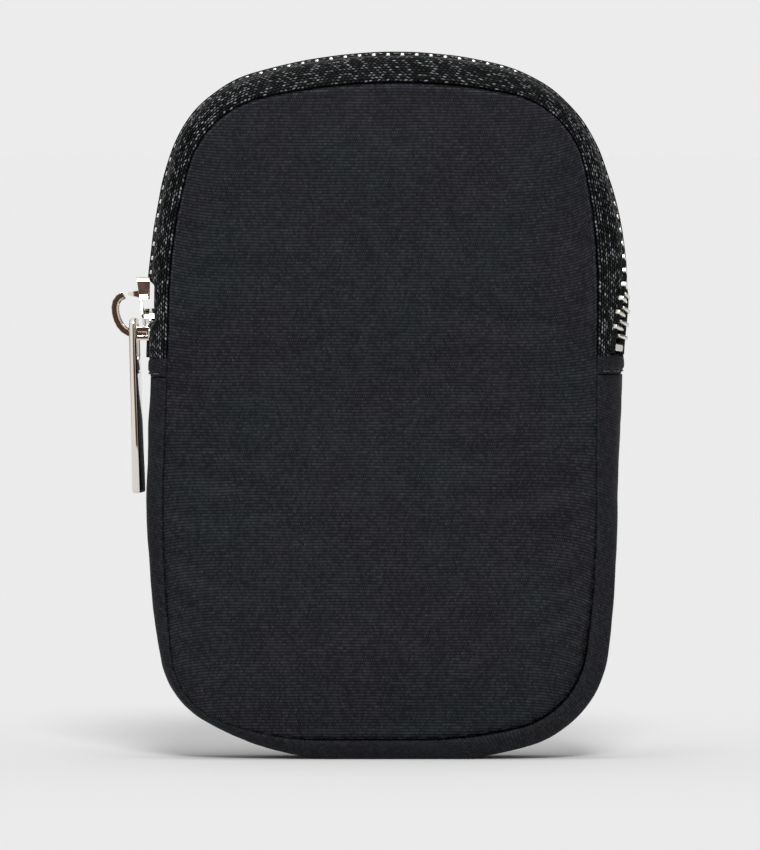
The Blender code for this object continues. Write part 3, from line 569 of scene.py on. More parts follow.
# %% Closed sheets of cloth
def closed_sheet(name, outer, inner, uv, materials, ring=False):
    """A solid from two grids of points, rows by columns in metres. The inner side gets the second
    material. With ring the rows join up end to end."""
    rows, columns = outer.shape[:2]
    points = np.concatenate((outer.reshape(-1, 3), inner.reshape(-1, 3)))
    under = rows * columns

    def index(j, i):
        return (j % rows) * columns + i

    faces, kinds = [], []
    for j in range(rows if ring else rows - 1):
        for i in range(columns - 1):
            quad = (index(j, i), index(j, i + 1), index(j + 1, i + 1), index(j + 1, i))
            faces.append(quad)
            faces.append(tuple(under + k for k in reversed(quad)))
            kinds += [0, 1]
    border = [(index(j, 0), index(j + 1, 0)) for j in range(rows if ring else rows - 1)]
    border += [(index(j + 1, columns - 1), index(j, columns - 1)) for j in range(rows if ring else rows - 1)]
    if not ring:
        border += [(index(0, i + 1), index(0, i)) for i in range(columns - 1)]
        border += [(index(rows - 1, i), index(rows - 1, i + 1)) for i in range(columns - 1)]
    for a, b in border:
        faces.append((a, b, under + b, under + a))
        kinds.append(0)
    mesh = bpy.data.meshes.new(name)
    mesh.from_pydata([tuple(p) for p in points], [], faces)
    layer = mesh.uv_layers.new(name="cloth")
    flat = uv.reshape(-1, 2)
    corners = np.array([loop.vertex_index for loop in mesh.loops]) % under
    layer.data.foreach_set("uv", flat[corners].ravel())
    for finish_used in materials:
        mesh.materials.append(finish_used)
    mesh.polygons.foreach_set("material_index", [min(k, len(materials) - 1) for k in kinds])
    mesh.shade_smooth()
    made = bpy.data.objects.new(name, mesh)
    bpy.context.collection.objects.link(made)
    face_outwards(made)
    return made


def face_outwards(piece):
    """Turns every face of a closed piece outwards."""
    bpy.ops.object.select_all(action="DESELECT")
    piece.select_set(True)
    bpy.context.view_layer.objects.active = piece
    bpy.ops.object.mode_set(mode="EDIT")
    bpy.ops.mesh.select_all(action="SELECT")
    bpy.ops.mesh.normals_make_consistent(inside=False)
    bpy.ops.object.mode_set(mode="OBJECT")
    piece.select_set(False)


# %% [markdown]
# A panel is a rounded rectangle, so a grid that runs from side to side and from top to bottom fits
# it well: the four sides of the outline are blended across it, as a Coons patch. A disc of rings
# would pinch the cloth at its middle. Rows lie 0.8 mm apart, and closer at the border, where the
# cloth rolls into its seam.

# %% A grid inside the panel's outline
CELLS_ACROSS, CELLS_UP = 98, 150
EDGE_ROWS = (0.0, 0.14, 0.38, 0.68)
CORNER_PLACES = (1.5, 5.5, 8.5, 12.5)


def grid_shares(cells):
    """Steps from 0 to 1: even ones, and the closer edge rows at both ends."""
    return np.array([*EDGE_ROWS, *range(1, cells), *(cells - row for row in reversed(EDGE_ROWS))]) / cells


SHARES_ACROSS, SHARES_UP = grid_shares(CELLS_ACROSS), grid_shares(CELLS_UP)
COLUMNS, ROWS = len(SHARES_ACROSS), len(SHARES_UP)


def outline_points(first, last, shares):
    """Points of the panel's outline at shares of the distance, in millimetres."""
    us = np.linspace(first, last, 400)
    points = np.array([PANEL.point(u) for u in us])
    steps = np.concatenate(([0.0], np.cumsum(np.linalg.norm(np.diff(points, axis=0), axis=1))))
    return np.stack([np.interp(shares * steps[-1], steps, points[:, k]) for k in (0, 1)], axis=1)


def panel_grid():
    """(x, z) of every grid point, rows by columns."""
    low_left, up_left, up_right, low_right = CORNER_PLACES
    left = outline_points(low_left, up_left, SHARES_UP)[:, None]
    top = outline_points(up_left, up_right, SHARES_ACROSS)[None]
    right = outline_points(up_right, low_right, SHARES_UP)[::-1][:, None]
    bottom = outline_points(low_right, low_left + SEGMENTS, SHARES_ACROSS)[::-1][None]
    s = SHARES_ACROSS[None, :, None]
    t = SHARES_UP[:, None, None]
    edges = (1 - t) * bottom + t * top + (1 - s) * left + s * right
    corners = (1 - t) * ((1 - s) * bottom[:, :1] + s * bottom[:, -1:])
    corners = corners + t * ((1 - s) * top[:, :1] + s * top[:, -1:])
    return edges - corners


GRID = panel_grid()
SEAM = outline_points(0.0, SEGMENTS, np.linspace(0, 1, 1600))
seam_steps = np.linalg.norm(np.diff(SEAM, axis=0), axis=1)
SEAM_RUN = np.concatenate(([0.0], np.cumsum(seam_steps)))
gaps = np.linalg.norm(GRID[:, :, None] - SEAM[None, None, ::2], axis=3)
nearest = gaps.argmin(axis=2)
FROM_SEAM = gaps.min(axis=2)
ALONG_SEAM = SEAM_RUN[::2][nearest]
arms = SEAM - PANEL_CENTRE
angles = np.arctan2(arms[:, 1], arms[:, 0])
order = np.argsort(angles)
grid_arms = GRID - PANEL_CENTRE
REACH = np.interp(
    np.arctan2(grid_arms[..., 1], grid_arms[..., 0]),
    angles[order],
    np.linalg.norm(arms, axis=1)[order],
    period=2 * math.pi,
)
SHARE = np.clip(np.linalg.norm(grid_arms, axis=2) / REACH, 0, 1)
BORDER = np.ones((ROWS, COLUMNS), dtype=bool)
BORDER[1:-1, 1:-1] = False
print("seam:", round(float(SEAM_RUN[-1]), 1), "mm round, grid", GRID.shape)

# %% [markdown]
# The panel swells 3 mm past its seam and rolls back into it. Stitches every 3.9 mm gather its edge
# into small puckers and draw it in like scallops, and thin foam behind the nylon lets it lie in
# soft, shallow hollows. The single folds at its foot are placed by their height and angle.

# %% The form of a panel
CROWN, CROWN_POWER = 3.0, 3.5
ROLL, ROLL_DEPTH = 1.1, 0.8
STITCH = 3.9
PUCKER, PUCKER_REACH = 0.14, 2.4
SCALLOP, SCALLOP_REACH = 0.3, 0.8
FOOT_TOP, FOOT_FADE = 34.0, 24.0
SEWN_TIGHT, SEWN_LOOSER = 0.35, 0.65
BROAD, BROAD_LONG, FINE, FINE_LONG = 0.4, 26.0, 0.16, 11.0
CALM_REACH, FOLD_FADE = 9.0, 1.2


def waves(x, z, scale, seed):
    """Smooth noise from -1 to 1 over millimetres."""
    return noise.noise(Vector((x / scale, z / scale, seed)))


def at_stitch(run):
    """1 at a stitch and 0 between two."""
    return (0.5 + 0.5 * math.cos(2 * math.pi * run / STITCH)) ** 2


def loose(run, height):
    """How loosely the seam is sewn: most round the foot, least up the sides."""
    foot = smooth((FOOT_TOP - height) / FOOT_FADE)
    return (SEWN_TIGHT + SEWN_LOOSER * foot) * (0.75 + 0.5 * waves(run, 0.0, 9.0, 21.0))


def soft_relief(seed):
    """How far the cloth stands out from its plain crown, in millimetres."""
    relief = np.zeros(GRID.shape[:2])
    for j in range(ROWS):
        for i in range(COLUMNS):
            x, z = GRID[j, i]
            away, run = FROM_SEAM[j, i], ALONG_SEAM[j, i]
            broad = BROAD * waves(x, z * 0.7, BROAD_LONG, seed) + FINE * waves(x, z, FINE_LONG, seed + 5)
            comb = (0.5 - at_stitch(run)) * 2 * loose(run, z)
            calm = min(away / CALM_REACH, 1.0)
            relief[j, i] = broad * calm + PUCKER * comb * math.exp(-away / PUCKER_REACH) * min(away / 0.5, 1)
    return relief


def fold_relief(folds):
    """Height of single folds: each is (x, z, angle in degrees, length, width, height)."""
    relief = np.zeros(GRID.shape[:2])
    for x, z, angle, length, width, height in folds:
        turn = math.radians(angle)
        arm = GRID - np.array((x, z))
        along = arm[..., 0] * math.cos(turn) + arm[..., 1] * math.sin(turn)
        across = arm[..., 1] * math.cos(turn) - arm[..., 0] * math.sin(turn)
        relief += height * np.exp(-((along / length) ** 2) - (across / width) ** 2)
    return relief * np.clip(FROM_SEAM / FOLD_FADE, 0, 1)


# %% [markdown]
# The wrinkles themselves come from Blender's cloth. Half the grid, sewn down round its border, is
# cut one part in a hundred too large and blown up a little from behind, so it buckles as slack
# nylon on foam does. It runs at twenty times its size, because the solver suits pieces a metre or
# two across. Only its wrinkles are kept: its own broad dome is taken off and the crown stays.

# %% Cloth simulation
TRIAL_SIZE, TRIAL_FRAMES = 20.0, 16
SLACK, MOST_MOVE = 0.01, 0.6
DOME_REACH, WRINKLE_FADE = 6, 1.5


def blurred(values, reach):
    """Mean over a square window, twice over."""
    window = np.ones(2 * reach + 1) / (2 * reach + 1)
    for _ in range(2):
        for axis in (0, 1):
            pads = [(reach, reach) if k == axis else (0, 0) for k in (0, 1)]
            padded = np.pad(values, pads, mode="edge")
            values = np.apply_along_axis(lambda line: np.convolve(line, window, mode="valid"), axis, padded)
    return values


def settled_wrinkles(start):
    """Settles one panel's cloth from its depths in millimetres and returns its wrinkles."""
    coarse = start[::2, ::2]
    rows, columns = coarse.shape
    points = np.stack((GRID[::2, ::2, 0], -coarse, GRID[::2, ::2, 1]), axis=2) * TRIAL_SIZE * MM
    corners = [j * columns + i for j in range(rows - 1) for i in range(columns - 1)]
    mesh = bpy.data.meshes.new("cloth_trial")
    mesh.from_pydata(
        [tuple(p) for p in points.reshape(-1, 3)],
        [],
        [(k, k + 1, k + columns + 1, k + columns) for k in corners],
    )
    trial = bpy.data.objects.new("cloth_trial", mesh)
    bpy.context.collection.objects.link(trial)
    sewn = trial.vertex_groups.new(name="sewn")
    last_row, last_column = rows - 1, columns - 1
    places = range(rows * columns)
    border = [k for k in places if k % columns in (0, last_column) or k // columns in (0, last_row)]
    sewn.add(border, 1.0, "REPLACE")
    cloth = trial.modifiers.new("slack", "CLOTH")
    cloth.settings.quality = 6
    cloth.settings.mass = 0.15
    cloth.settings.tension_stiffness = 14
    cloth.settings.compression_stiffness = 14
    cloth.settings.shear_stiffness = 6
    cloth.settings.bending_stiffness = 0.4
    cloth.settings.vertex_group_mass = "sewn"
    cloth.settings.shrink_min = -SLACK
    cloth.settings.use_pressure = True
    cloth.settings.uniform_pressure_force = 0.6
    cloth.settings.effector_weights.gravity = 0.15
    cloth.point_cache.frame_start, cloth.point_cache.frame_end = 1, TRIAL_FRAMES
    for number in range(1, TRIAL_FRAMES + 1):
        bpy.context.scene.frame_set(number)
    bpy.ops.object.select_all(action="DESELECT")
    trial.select_set(True)
    bpy.context.view_layer.objects.active = trial
    bpy.ops.object.modifier_apply(modifier="slack")
    settled = np.array([-v.co.y for v in trial.data.vertices]).reshape(rows, columns) / (TRIAL_SIZE * MM)
    bpy.data.objects.remove(trial)
    bpy.context.scene.frame_set(1)
    moved = settled - coarse
    wrinkles = moved - blurred(moved, DOME_REACH)
    print("cloth moved", moved.min().round(2), "to", moved.max().round(2), "mm")
    fine_rows = np.linspace(0, rows - 1, ROWS)
    fine_columns = np.linspace(0, columns - 1, COLUMNS)
    tall = np.stack([np.interp(fine_rows, range(rows), wrinkles[:, i]) for i in range(columns)], axis=1)
    wide = np.stack([np.interp(fine_columns, range(columns), tall[j]) for j in range(ROWS)])
    return np.clip(wide, -MOST_MOVE, MOST_MOVE) * np.clip(FROM_SEAM / WRINKLE_FADE, 0, 1)


# %% [markdown]
# Past its seam the cloth of a panel runs on as a hem, outwards and down under the edge of the strip
# that it is sewn to. Without it one could look through the seam. Where the cloth rolls in, its edge
# gets a painted highlight, stronger towards the top.

# %% Panels
EDGE_SHEEN_AT, EDGE_SHEEN_WIDTH = 0.1, 0.14
HEM_OUT, HEM_DOWN, HEM_THICK = 0.9, 1.3, 0.3
PAD, PAD_REACH, CLOTH = 3.0, 5.0, 0.25


def make_panel(name, side, relief):
    """A padded panel: nylon outside, lining inside, with a painted highlight along its edge as an attribute.
    """
    inset = np.clip(1 - FROM_SEAM / ROLL, 0, 1)
    roll = ROLL_DEPTH * (1 - np.sqrt(1 - inset**2))
    swell = CROWN * (1 - SHARE**CROWN_POWER)
    thick = PAD * np.clip(FROM_SEAM / PAD_REACH, 0, 1) ** 0.6 + CLOTH
    relief = relief + settled_wrinkles(SEAM_HALF + swell + relief)
    outer = SEAM_HALF + swell - roll + relief
    inner = SEAM_HALF + swell * 0.95 - thick - roll * 0.6
    places = zip(ALONG_SEAM.ravel(), GRID[..., 1].ravel())
    drawn = [at_stitch(run) * loose(run, 0.0 if z < FOOT_TOP else z) for run, z in places]
    drawn = SCALLOP * np.reshape(drawn, (ROWS, COLUMNS)) * np.exp(-FROM_SEAM / SCALLOP_REACH)
    drawn[BORDER] = -HEM_OUT
    outer[BORDER], inner[BORDER] = SEAM_HALF - HEM_DOWN, SEAM_HALF - HEM_DOWN - HEM_THICK
    lengths = np.maximum(np.linalg.norm(grid_arms, axis=2), 1.0)
    place = GRID - grid_arms * (drawn / lengths)[..., None]
    grids = []
    for depth in (outer, inner):
        points = np.empty((ROWS, COLUMNS, 3))
        points[..., 0], points[..., 2] = place[..., 0], place[..., 1]
        points[..., 1] = side * depth
        grids.append(points * MM)
    made = closed_sheet(name, *grids, GRID * MM, (PANEL_NYLON, LINING_CLOTH))
    # Painted highlight along the rolled edge, brighter towards the top, as if lit from above.
    height = np.clip((GRID[..., 1] - 50.0) / 50.0, 0.15, 1)
    painted_rim = (np.exp(-(((FROM_SEAM - EDGE_SHEEN_AT) / EDGE_SHEEN_WIDTH) ** 2)) * height * ~BORDER).ravel()
    layer = made.data.attributes.new("painted_edge_sheen", "FLOAT", "POINT")
    layer.data.foreach_set("value", np.concatenate((painted_rim, np.zeros_like(painted_rim))))
    return made


# Each fold is (x, z, angle in degrees, length, width, height).
FRONT_FOLDS = (
    (-19.5, 15.0, 72, 8.0, 1.6, 0.4),
    (-9.3, 14.0, 88, 6.0, 2.0, -0.4),
    (-3.2, 14.0, 86, 6.5, 1.7, 0.35),
    (1.5, 15.5, 88, 7.0, 1.8, -0.35),
    (20.5, 15.0, 84, 5.0, 1.3, -0.45),
    (24.0, 14.0, 75, 6.0, 2.0, 0.3),
    (34.4, 47.7, 10, 5.0, 2.4, 0.4),
    (27.5, 37.6, 40, 7.0, 3.0, -0.4),
    (-34.0, 46.0, 15, 7.0, 2.2, -0.3),
    (-6.7, 104.0, 90, 15.0, 4.0, 0.25),
    (16.0, 112.0, 20, 7.0, 5.0, -0.35),
)
front_face = make_panel("front_face", -1, soft_relief(1.0) + fold_relief(FRONT_FOLDS))
back_face = make_panel("back_face", 1, soft_relief(7.0))
print("panels made")

# %% [markdown]
# Gusset, tapes and tabs are strips on the skin. Each is made from a few settings: where it starts
# and ends, the depths that it spans, its thickness, and a relief that tucks it into the seam and
# gathers it at the stitches.

# %% Strips on the skin
TUCK, TUCK_REACH = 0.6, 0.8
GATHER, GATHER_REACH = 0.5, 1.6


def seam_tuck(u, y, run):
    """Inward tuck beside the nearer seam, in millimetres, with the stitches' gathers."""
    edge = PANEL.point(u)
    seam = Vector((edge.x, math.copysign(SEAM_HALF, y), edge.y))
    away = (skin(u, y) - seam).length
    gather = (0.5 - at_stitch(run)) * math.exp(-away / GATHER_REACH) * GATHER * loose(run, seam.z)
    return -TUCK * math.exp(-((away / TUCK_REACH) ** 2)) + gather


def strip(name, us, depths, columns, thickness, relief, materials):
    """A closed strip along us, between the two depths that depths(u) gives."""
    rows = len(us)
    outer = np.empty((rows, columns, 3))
    inner = np.empty((rows, columns, 3))
    uv = np.empty((rows, columns, 2))
    run, before = 0.0, None
    for j, u in enumerate(us):
        low, high = depths(u)
        middle = skin(u, (low + high) / 2)
        run += 0.0 if before is None else (middle - before).length
        before = middle
        across, last = 0.0, None
        for i, y in enumerate(np.linspace(low, high, columns)):
            place, normal = skin(u, y), outward(u, y)
            across += 0.0 if last is None else (place - last).length
            last = place
            top, under = thickness(u, y, run)
            lift = relief(u, y, run)
            outer[j, i] = place + normal * (top + lift)
            inner[j, i] = place - normal * (under - min(lift, 0.0) * 0.5)
            uv[j, i] = run * MM, across * MM
    return closed_sheet(name, outer * MM, inner * MM, uv, materials)


def span(first, last, step):
    """Parameters from first to last about every step millimetres."""
    line = Run(first, last, lambda u: 0.0)
    return [line.u_at(r) for r in np.linspace(0, line.length, max(int(line.length / step), 2) + 1)]


# %% [markdown]
# The gusset is padded as the panels are. It hangs a little slack between its seams, so it has
# shallow dents along its length.

# %% Gusset
EDGE = SEAM_HALF - 0.35
TAB_SHIFT = 0.5  # the right tab sits this much higher
STRIP_COLUMNS = 40
DENT, DENT_LONG, CREASE, CREASE_LONG = 0.17, 13.0, 0.09, 5.0
LINED_HALF, GUSSET_SKIN, GUSSET_PAD = 9.4, 0.3, 2.1
gusset_us = span(right_at(TAB_LOW + TAB_SHIFT - 0.1), left_at(TAB_LOW - 0.1) + SEGMENTS, 0.9)


def drawn_in(place):
    """How far the strip lies inside its plain outline: below the left tab, and at both corners."""
    below_tab = 0.35 * math.exp(-(((place.z - 71.0) / 7.0) ** 2)) if place.x < 0 else 0.0
    corner = math.exp(-(((place.z - 5.0) / 9.0) ** 2)) * smooth((abs(place.x - 2.0) - 12.0) / 12.0)
    corner *= 0.5 if place.x < 0 else 0.8
    return below_tab + corner


def gusset_relief(u, y, run):
    dents = DENT * waves(run, y * 1.5, DENT_LONG, 3.0)
    slack = dents + CREASE * waves(run, y * 2, CREASE_LONG, 4.0) - 0.04
    calm = smooth((SEAM_HALF - abs(y)) / 5.0)
    place = skin(u, 0.0)
    return slack * calm * smooth(place.z / 6.0) - drawn_in(place) * calm + seam_tuck(u, y, run)


def gusset_thickness(u, y, run):
    inside = smooth((LINED_HALF - abs(y)) / 2.0)
    return GUSSET_SKIN, GUSSET_SKIN + GUSSET_PAD * inside


gusset_cloth = strip(
    "gusset_cloth",
    gusset_us,
    lambda u: (-EDGE, EDGE),
    STRIP_COLUMNS,
    gusset_thickness,
    gusset_relief,
    (STRIP_NYLON, LINING_CLOTH),
)
print("gusset made,", len(gusset_us), "stations")

# %% [markdown]
# At each end of the zip a folded tab of nylon covers the raw tape. It is a short, thick strip with
# rounded edges, sewn down along its lower edge.

# %% Tabs
TAB_PROUD, TAB_THICK = 0.2, (0.3, 0.9)
SEWN_AT, SEWN_WIDTH, SEWN_DEEP = 0.17, 0.1, 0.35


def tab_relief(low, high):
    def relief(u, y, run):
        place = (skin(u, 0.0).z - low) / (high - low)
        roll = 1 - abs(2 * place - 1) ** 4
        sewn = SEWN_DEEP * math.exp(-(((place - SEWN_AT) / SEWN_WIDTH) ** 2))
        crease = 0.1 * waves(run * 2, y, 3.0, 9.0)
        return TAB_PROUD - 0.5 * (1 - roll) - sewn + seam_tuck(u, y, run) * 0.8 + crease

    return relief


def make_tab(name, us):
    low, high = sorted((skin(us[0], 0.0).z, skin(us[-1], 0.0).z))
    relief = tab_relief(low, high)
    thickness = lambda *_: TAB_THICK
    return strip(name, us, lambda u: (-EDGE, EDGE), STRIP_COLUMNS, thickness, relief, (STRIP_NYLON,))


tab_left = make_tab("tab_left", span(left_at(TAB_LOW), left_at(TAB_HIGH), 0.3))
tab_right = make_tab("tab_right", span(right_at(TAB_HIGH + TAB_SHIFT), right_at(TAB_LOW + TAB_SHIFT), 0.3))

# %% [markdown]
# Each tape runs from its seam to the bead that the teeth clamp. At the slider the two rows part,
# and the tapes' edges part with them and sink towards the slider's inner plate. Round the arch the
# tape banks up beside the teeth, and the back one most, so from in front the teeth show as bright
# dots under a black line. At the shoulders, where the arch bends most, the front tape covers all but
# their tips. Where the zip leans to the front the tape lies lower, and beyond the slider the bead
# lies flat.

# %% Tapes and beads
SPREAD, SPREAD_TOP, SPREAD_BOTTOM = 1.85, 1.6, -3.2
TOOTH_ROOT = 2.8
BEAD_MIDDLE, BEAD_ROUND = 1.9, 0.75
BEAD_RISE, BEAD_LEANING, BEAD_OPEN = 0.74, 0.6, 0.45
SUNK, FLATTENED = 0.7, 0.6
BANK_FRONT, BANK_SHOULDER, BANK_BACK = 0.05, 0.42, 0.8
BANK_MIDDLE, BANK_REACH = 0.6, 1.25
CHANNEL_LOW, CHANNEL_HIGH = 4.7, 4.3  # how far the channel reaches from the slider's middle
BEAD_STEP, BEAD_SIDES = 0.45, 8
TAPE_UNDER, TAPE_COLUMNS, TAPE_HALF = 0.3, 22, 0.3


def in_slider(run):
    """1 inside the slider and 0 outside, with a short rise between."""
    return smooth((run - SLIDER_RUN + CHANNEL_LOW) / 1.2) * smooth((SLIDER_RUN + CHANNEL_HIGH - run) / 1.4)


def bead_rise(run):
    """Half height of the bead above the tape's middle."""
    leaning = lean(POUCH.point(CHAIN.u_at(run)))
    opened = smooth((SLIDER_RUN - 3.0 - run) / 2.0)
    rise = BEAD_RISE + (BEAD_LEANING - BEAD_RISE) * leaning
    return (rise + (BEAD_OPEN - rise) * opened) * (1 - FLATTENED * in_slider(run))


def spread(run):
    """How far either row lies from its meshed place."""
    share = (SPREAD_TOP - (run - SLIDER_RUN)) / (SPREAD_TOP - SPREAD_BOTTOM)
    return SPREAD * min(max(share, 0.0), 1.0)


def tape_depths(side):
    def depths(u):
        edge = side * EDGE
        teeth = chain_depth(u) + side * (BEAD_MIDDLE + 0.2 + spread(CHAIN.run_at(u)))
        return min(edge, teeth), max(edge, teeth)

    return depths


def tape_relief(u, y, run):
    chain_run = CHAIN.run_at(u)
    from_teeth = abs(y - chain_depth(u)) - TOOTH_ROOT - spread(chain_run)
    out = outward(u, y)
    front = BANK_FRONT + BANK_SHOULDER * abs(2 * out.x * out.z)
    bank = (front if y < chain_depth(u) else BANK_BACK) * (1 - lean(POUCH.point(u)) ** 2)
    bank *= smooth(1 - abs(from_teeth - BANK_MIDDLE) / BANK_REACH) * (1 - in_slider(chain_run))
    fall = SUNK * in_slider(chain_run) * smooth((9.5 - abs(y)) / 4.0)
    return seam_tuck(u, y, run) + 0.12 * waves(run, y, 6.0, 11.0) + bank - fall


def make_bead(name, side, first, last):
    """The cord at a tape's edge, as a tube."""
    runs = np.linspace(first, last, max(int((last - first) / BEAD_STEP), 2))
    verts, faces = [], []
    for run in runs:
        place, rise, fall = CHAIN.frame(run), bead_rise(run), SUNK * in_slider(run)
        for k in range(BEAD_SIDES):
            turn = 2 * math.pi * k / BEAD_SIDES
            b = side * (BEAD_MIDDLE + spread(run)) + BEAD_ROUND * math.cos(turn)
            verts.append(place @ Vector((0, b, rise * math.sin(turn) - fall)) * MM)
    for j in range(len(runs) - 1):
        for k in range(BEAD_SIDES):
            a, b = j * BEAD_SIDES + k, j * BEAD_SIDES + (k + 1) % BEAD_SIDES
            faces.append((a, b, b + BEAD_SIDES, a + BEAD_SIDES))
    faces += [tuple(range(BEAD_SIDES)), tuple(range(len(verts) - BEAD_SIDES, len(verts)))]
    mesh = bpy.data.meshes.new(name)
    mesh.from_pydata([tuple(v) for v in verts], [], faces)
    mesh.uv_layers.new(name="cloth")
    mesh.materials.append(KNIT_TAPE)
    mesh.shade_smooth()
    made = bpy.data.objects.new(name, mesh)
    bpy.context.collection.objects.link(made)
    face_outwards(made)
    return made


tape_us = span(left_at(TAB_HIGH - TAPE_UNDER), right_at(TAB_HIGH - TAPE_UNDER), 0.8)
tape_made = (TAPE_COLUMNS, lambda *_: (TAPE_HALF, TAPE_HALF), tape_relief, (KNIT_TAPE,))
tape_front = strip("tape_front", tape_us, tape_depths(-1), *tape_made)
tape_back = strip("tape_back", tape_us, tape_depths(1), *tape_made)
bead_front = make_bead("bead_front", -1, GAP, CHAIN.length - GAP)
bead_back = make_bead("bead_back", 1, GAP, CHAIN.length - GAP)
print("tapes made,", len(tape_us), "stations")

# %% [markdown]
# One tooth is a stamped clamp: two legs round the bead and a narrower head that locks between its
# neighbours. It starts as a cube, cut in two at half height so that its legs can taper outwards.
# Its head is extruded and drawn in, and its edges are rounded. Modelled once, it is copied to every
# place on its row.

# %% One tooth
PITCH = 2.7
LEG_HALF, LEG_TAPER, HEAD_HALF = 0.48, 0.72, 0.32
WAIST, TIP, RISE = 0.75, 0.85, 0.8
HEAD_LOWER, TOOTH_ROUND = 0.82, 0.14


def make_tooth():
    """A tooth that points along +Y, in millimetres scaled to metres, about the chain's middle."""
    size = (2 * LEG_HALF * MM, (TOOTH_ROOT - WAIST) * MM, 2 * RISE * MM)
    bpy.ops.mesh.primitive_cube_add(size=1, location=(0, -(TOOTH_ROOT + WAIST) / 2 * MM, 0))
    tooth = bpy.context.object
    tooth.name = "tooth"
    tooth.scale = size
    bpy.ops.object.transform_apply(location=True, rotation=False, scale=True)
    bpy.ops.object.mode_set(mode="EDIT")
    bpy.ops.mesh.select_all(action="SELECT")
    bpy.ops.mesh.bisect(plane_co=(0, 0, 0), plane_no=(0, 0, 1))
    bpy.ops.mesh.select_mode(type="FACE")
    bpy.ops.mesh.select_all(action="DESELECT")
    bpy.ops.object.mode_set(mode="OBJECT")
    for face in tooth.data.polygons:
        face.select = abs(face.normal.z) > 0.9
    bpy.ops.object.mode_set(mode="EDIT")
    bpy.ops.transform.resize(value=(LEG_TAPER, 1, 1))
    bpy.ops.mesh.select_all(action="DESELECT")
    bpy.ops.object.mode_set(mode="OBJECT")
    for face in tooth.data.polygons:
        face.select = face.normal.y > 0.9
    bpy.ops.object.mode_set(mode="EDIT")
    bpy.ops.mesh.extrude_region_move(TRANSFORM_OT_translate={"value": (0, (WAIST + TIP) * MM, 0)})
    bpy.ops.transform.resize(value=(HEAD_HALF / LEG_HALF, 1, HEAD_LOWER))
    bpy.ops.mesh.select_all(action="SELECT")
    bpy.ops.mesh.bevel(offset=TOOTH_ROUND * MM, segments=2, affect="EDGES")
    bpy.ops.object.mode_set(mode="OBJECT")
    tooth.data.materials.append(TOOTH_METAL)
    bpy.ops.object.shade_smooth_by_angle(angle=math.radians(50))
    tooth.select_set(False)
    return tooth


TOOTH = make_tooth()
print("a tooth has", len(TOOTH.data.polygons), "faces")

# %% [markdown]
# The rows are spaced as on the real chain, every 2.7 mm on each tape and half a pitch apart. The
# front row is in three pieces, because the front folds down at 93.5 mm.

# %% Rows of teeth
FOLD = 93.5
STOP_LENGTH, SLIDER_LENGTH = 1.9, 9.2
TOP_STOP_RUN = SLIDER_RUN - SLIDER_LENGTH / 2 - GAP - STOP_LENGTH / 2
BOTTOM_STOP_RUN = CHAIN.length - GAP - STOP_LENGTH / 2
BEYOND_STOP = STOP_LENGTH / 2 + GAP + LEG_HALF
fold_left, fold_right = CHAIN.run_at(left_at(FOLD)), CHAIN.run_at(right_at(FOLD))
first_run = fold_left - (int((fold_left - TOP_STOP_RUN - BEYOND_STOP) / PITCH - 0.5) + 0.5) * PITCH
last_run = BOTTOM_STOP_RUN - BEYOND_STOP
front_runs = [first_run + PITCH * k for k in range(int((last_run - first_run) / PITCH) + 1)]
back_runs = [run + PITCH / 2 for run in front_runs if run + PITCH / 2 <= last_run]


def make_row(name, side, runs):
    """Copies of the tooth along one tape, joined into one piece."""
    bpy.ops.object.select_all(action="DESELECT")
    copies = []
    for run in runs:
        copy = TOOTH.copy()
        copy.data = TOOTH.data.copy()
        bpy.context.collection.objects.link(copy)
        place = CHAIN.frame(run)
        place.translation *= MM
        inside = in_slider(run)
        shift = Matrix.Translation((0, side * spread(run) * MM, -SUNK * inside * MM))
        shift = shift @ Matrix.Scale(1 - FLATTENED * inside, 4, (0, 0, 1))
        flip = Matrix.Identity(4) if side < 0 else Matrix.Rotation(math.pi, 4, "Z")
        copy.data.transform(place @ shift @ flip)
        copy.select_set(True)
        copies.append(copy)
    bpy.context.view_layer.objects.active = copies[0]
    bpy.ops.object.join()
    row = bpy.context.object
    row.name = name
    row.select_set(False)
    return row


teeth_left = make_row("teeth_front_left", -1, [r for r in front_runs if r < fold_left])
teeth_arch = make_row("teeth_front_arch", -1, [r for r in front_runs if fold_left < r < fold_right])
teeth_right = make_row("teeth_front_right", -1, [r for r in front_runs if r > fold_right])
teeth_back = make_row("teeth_back", 1, back_runs)
bpy.data.objects.remove(TOOTH)
print(len(front_runs), "front teeth,", len(back_runs), "back teeth")

# %% [markdown]
# The slider, the puller and the stops are cast or stamped to the shape that the solids have
# already. A copy of each solid is welded, its flat faces are made whole, and its edges are rounded
# so that they catch the light as polished metal does. The bottom stop's copy is a thinner clamp,
# and it follows the zip, which leans a little further to the front here than in the solids.


# %% Rounded copies of the metal parts
def rounded(piece, width, angle):
    """Rounds a piece's edges, and keeps its flat faces flat, as polished ones are."""
    bpy.ops.object.select_all(action="DESELECT")
    piece.select_set(True)
    bpy.context.view_layer.objects.active = piece
    bevel = piece.modifiers.new("edges", "BEVEL")
    bevel.width, bevel.segments, bevel.angle_limit = width * MM, 2, math.radians(angle)
    bpy.ops.object.modifier_apply(modifier="edges")
    bpy.ops.object.shade_smooth_by_angle(angle=math.radians(20))
    piece.select_set(False)


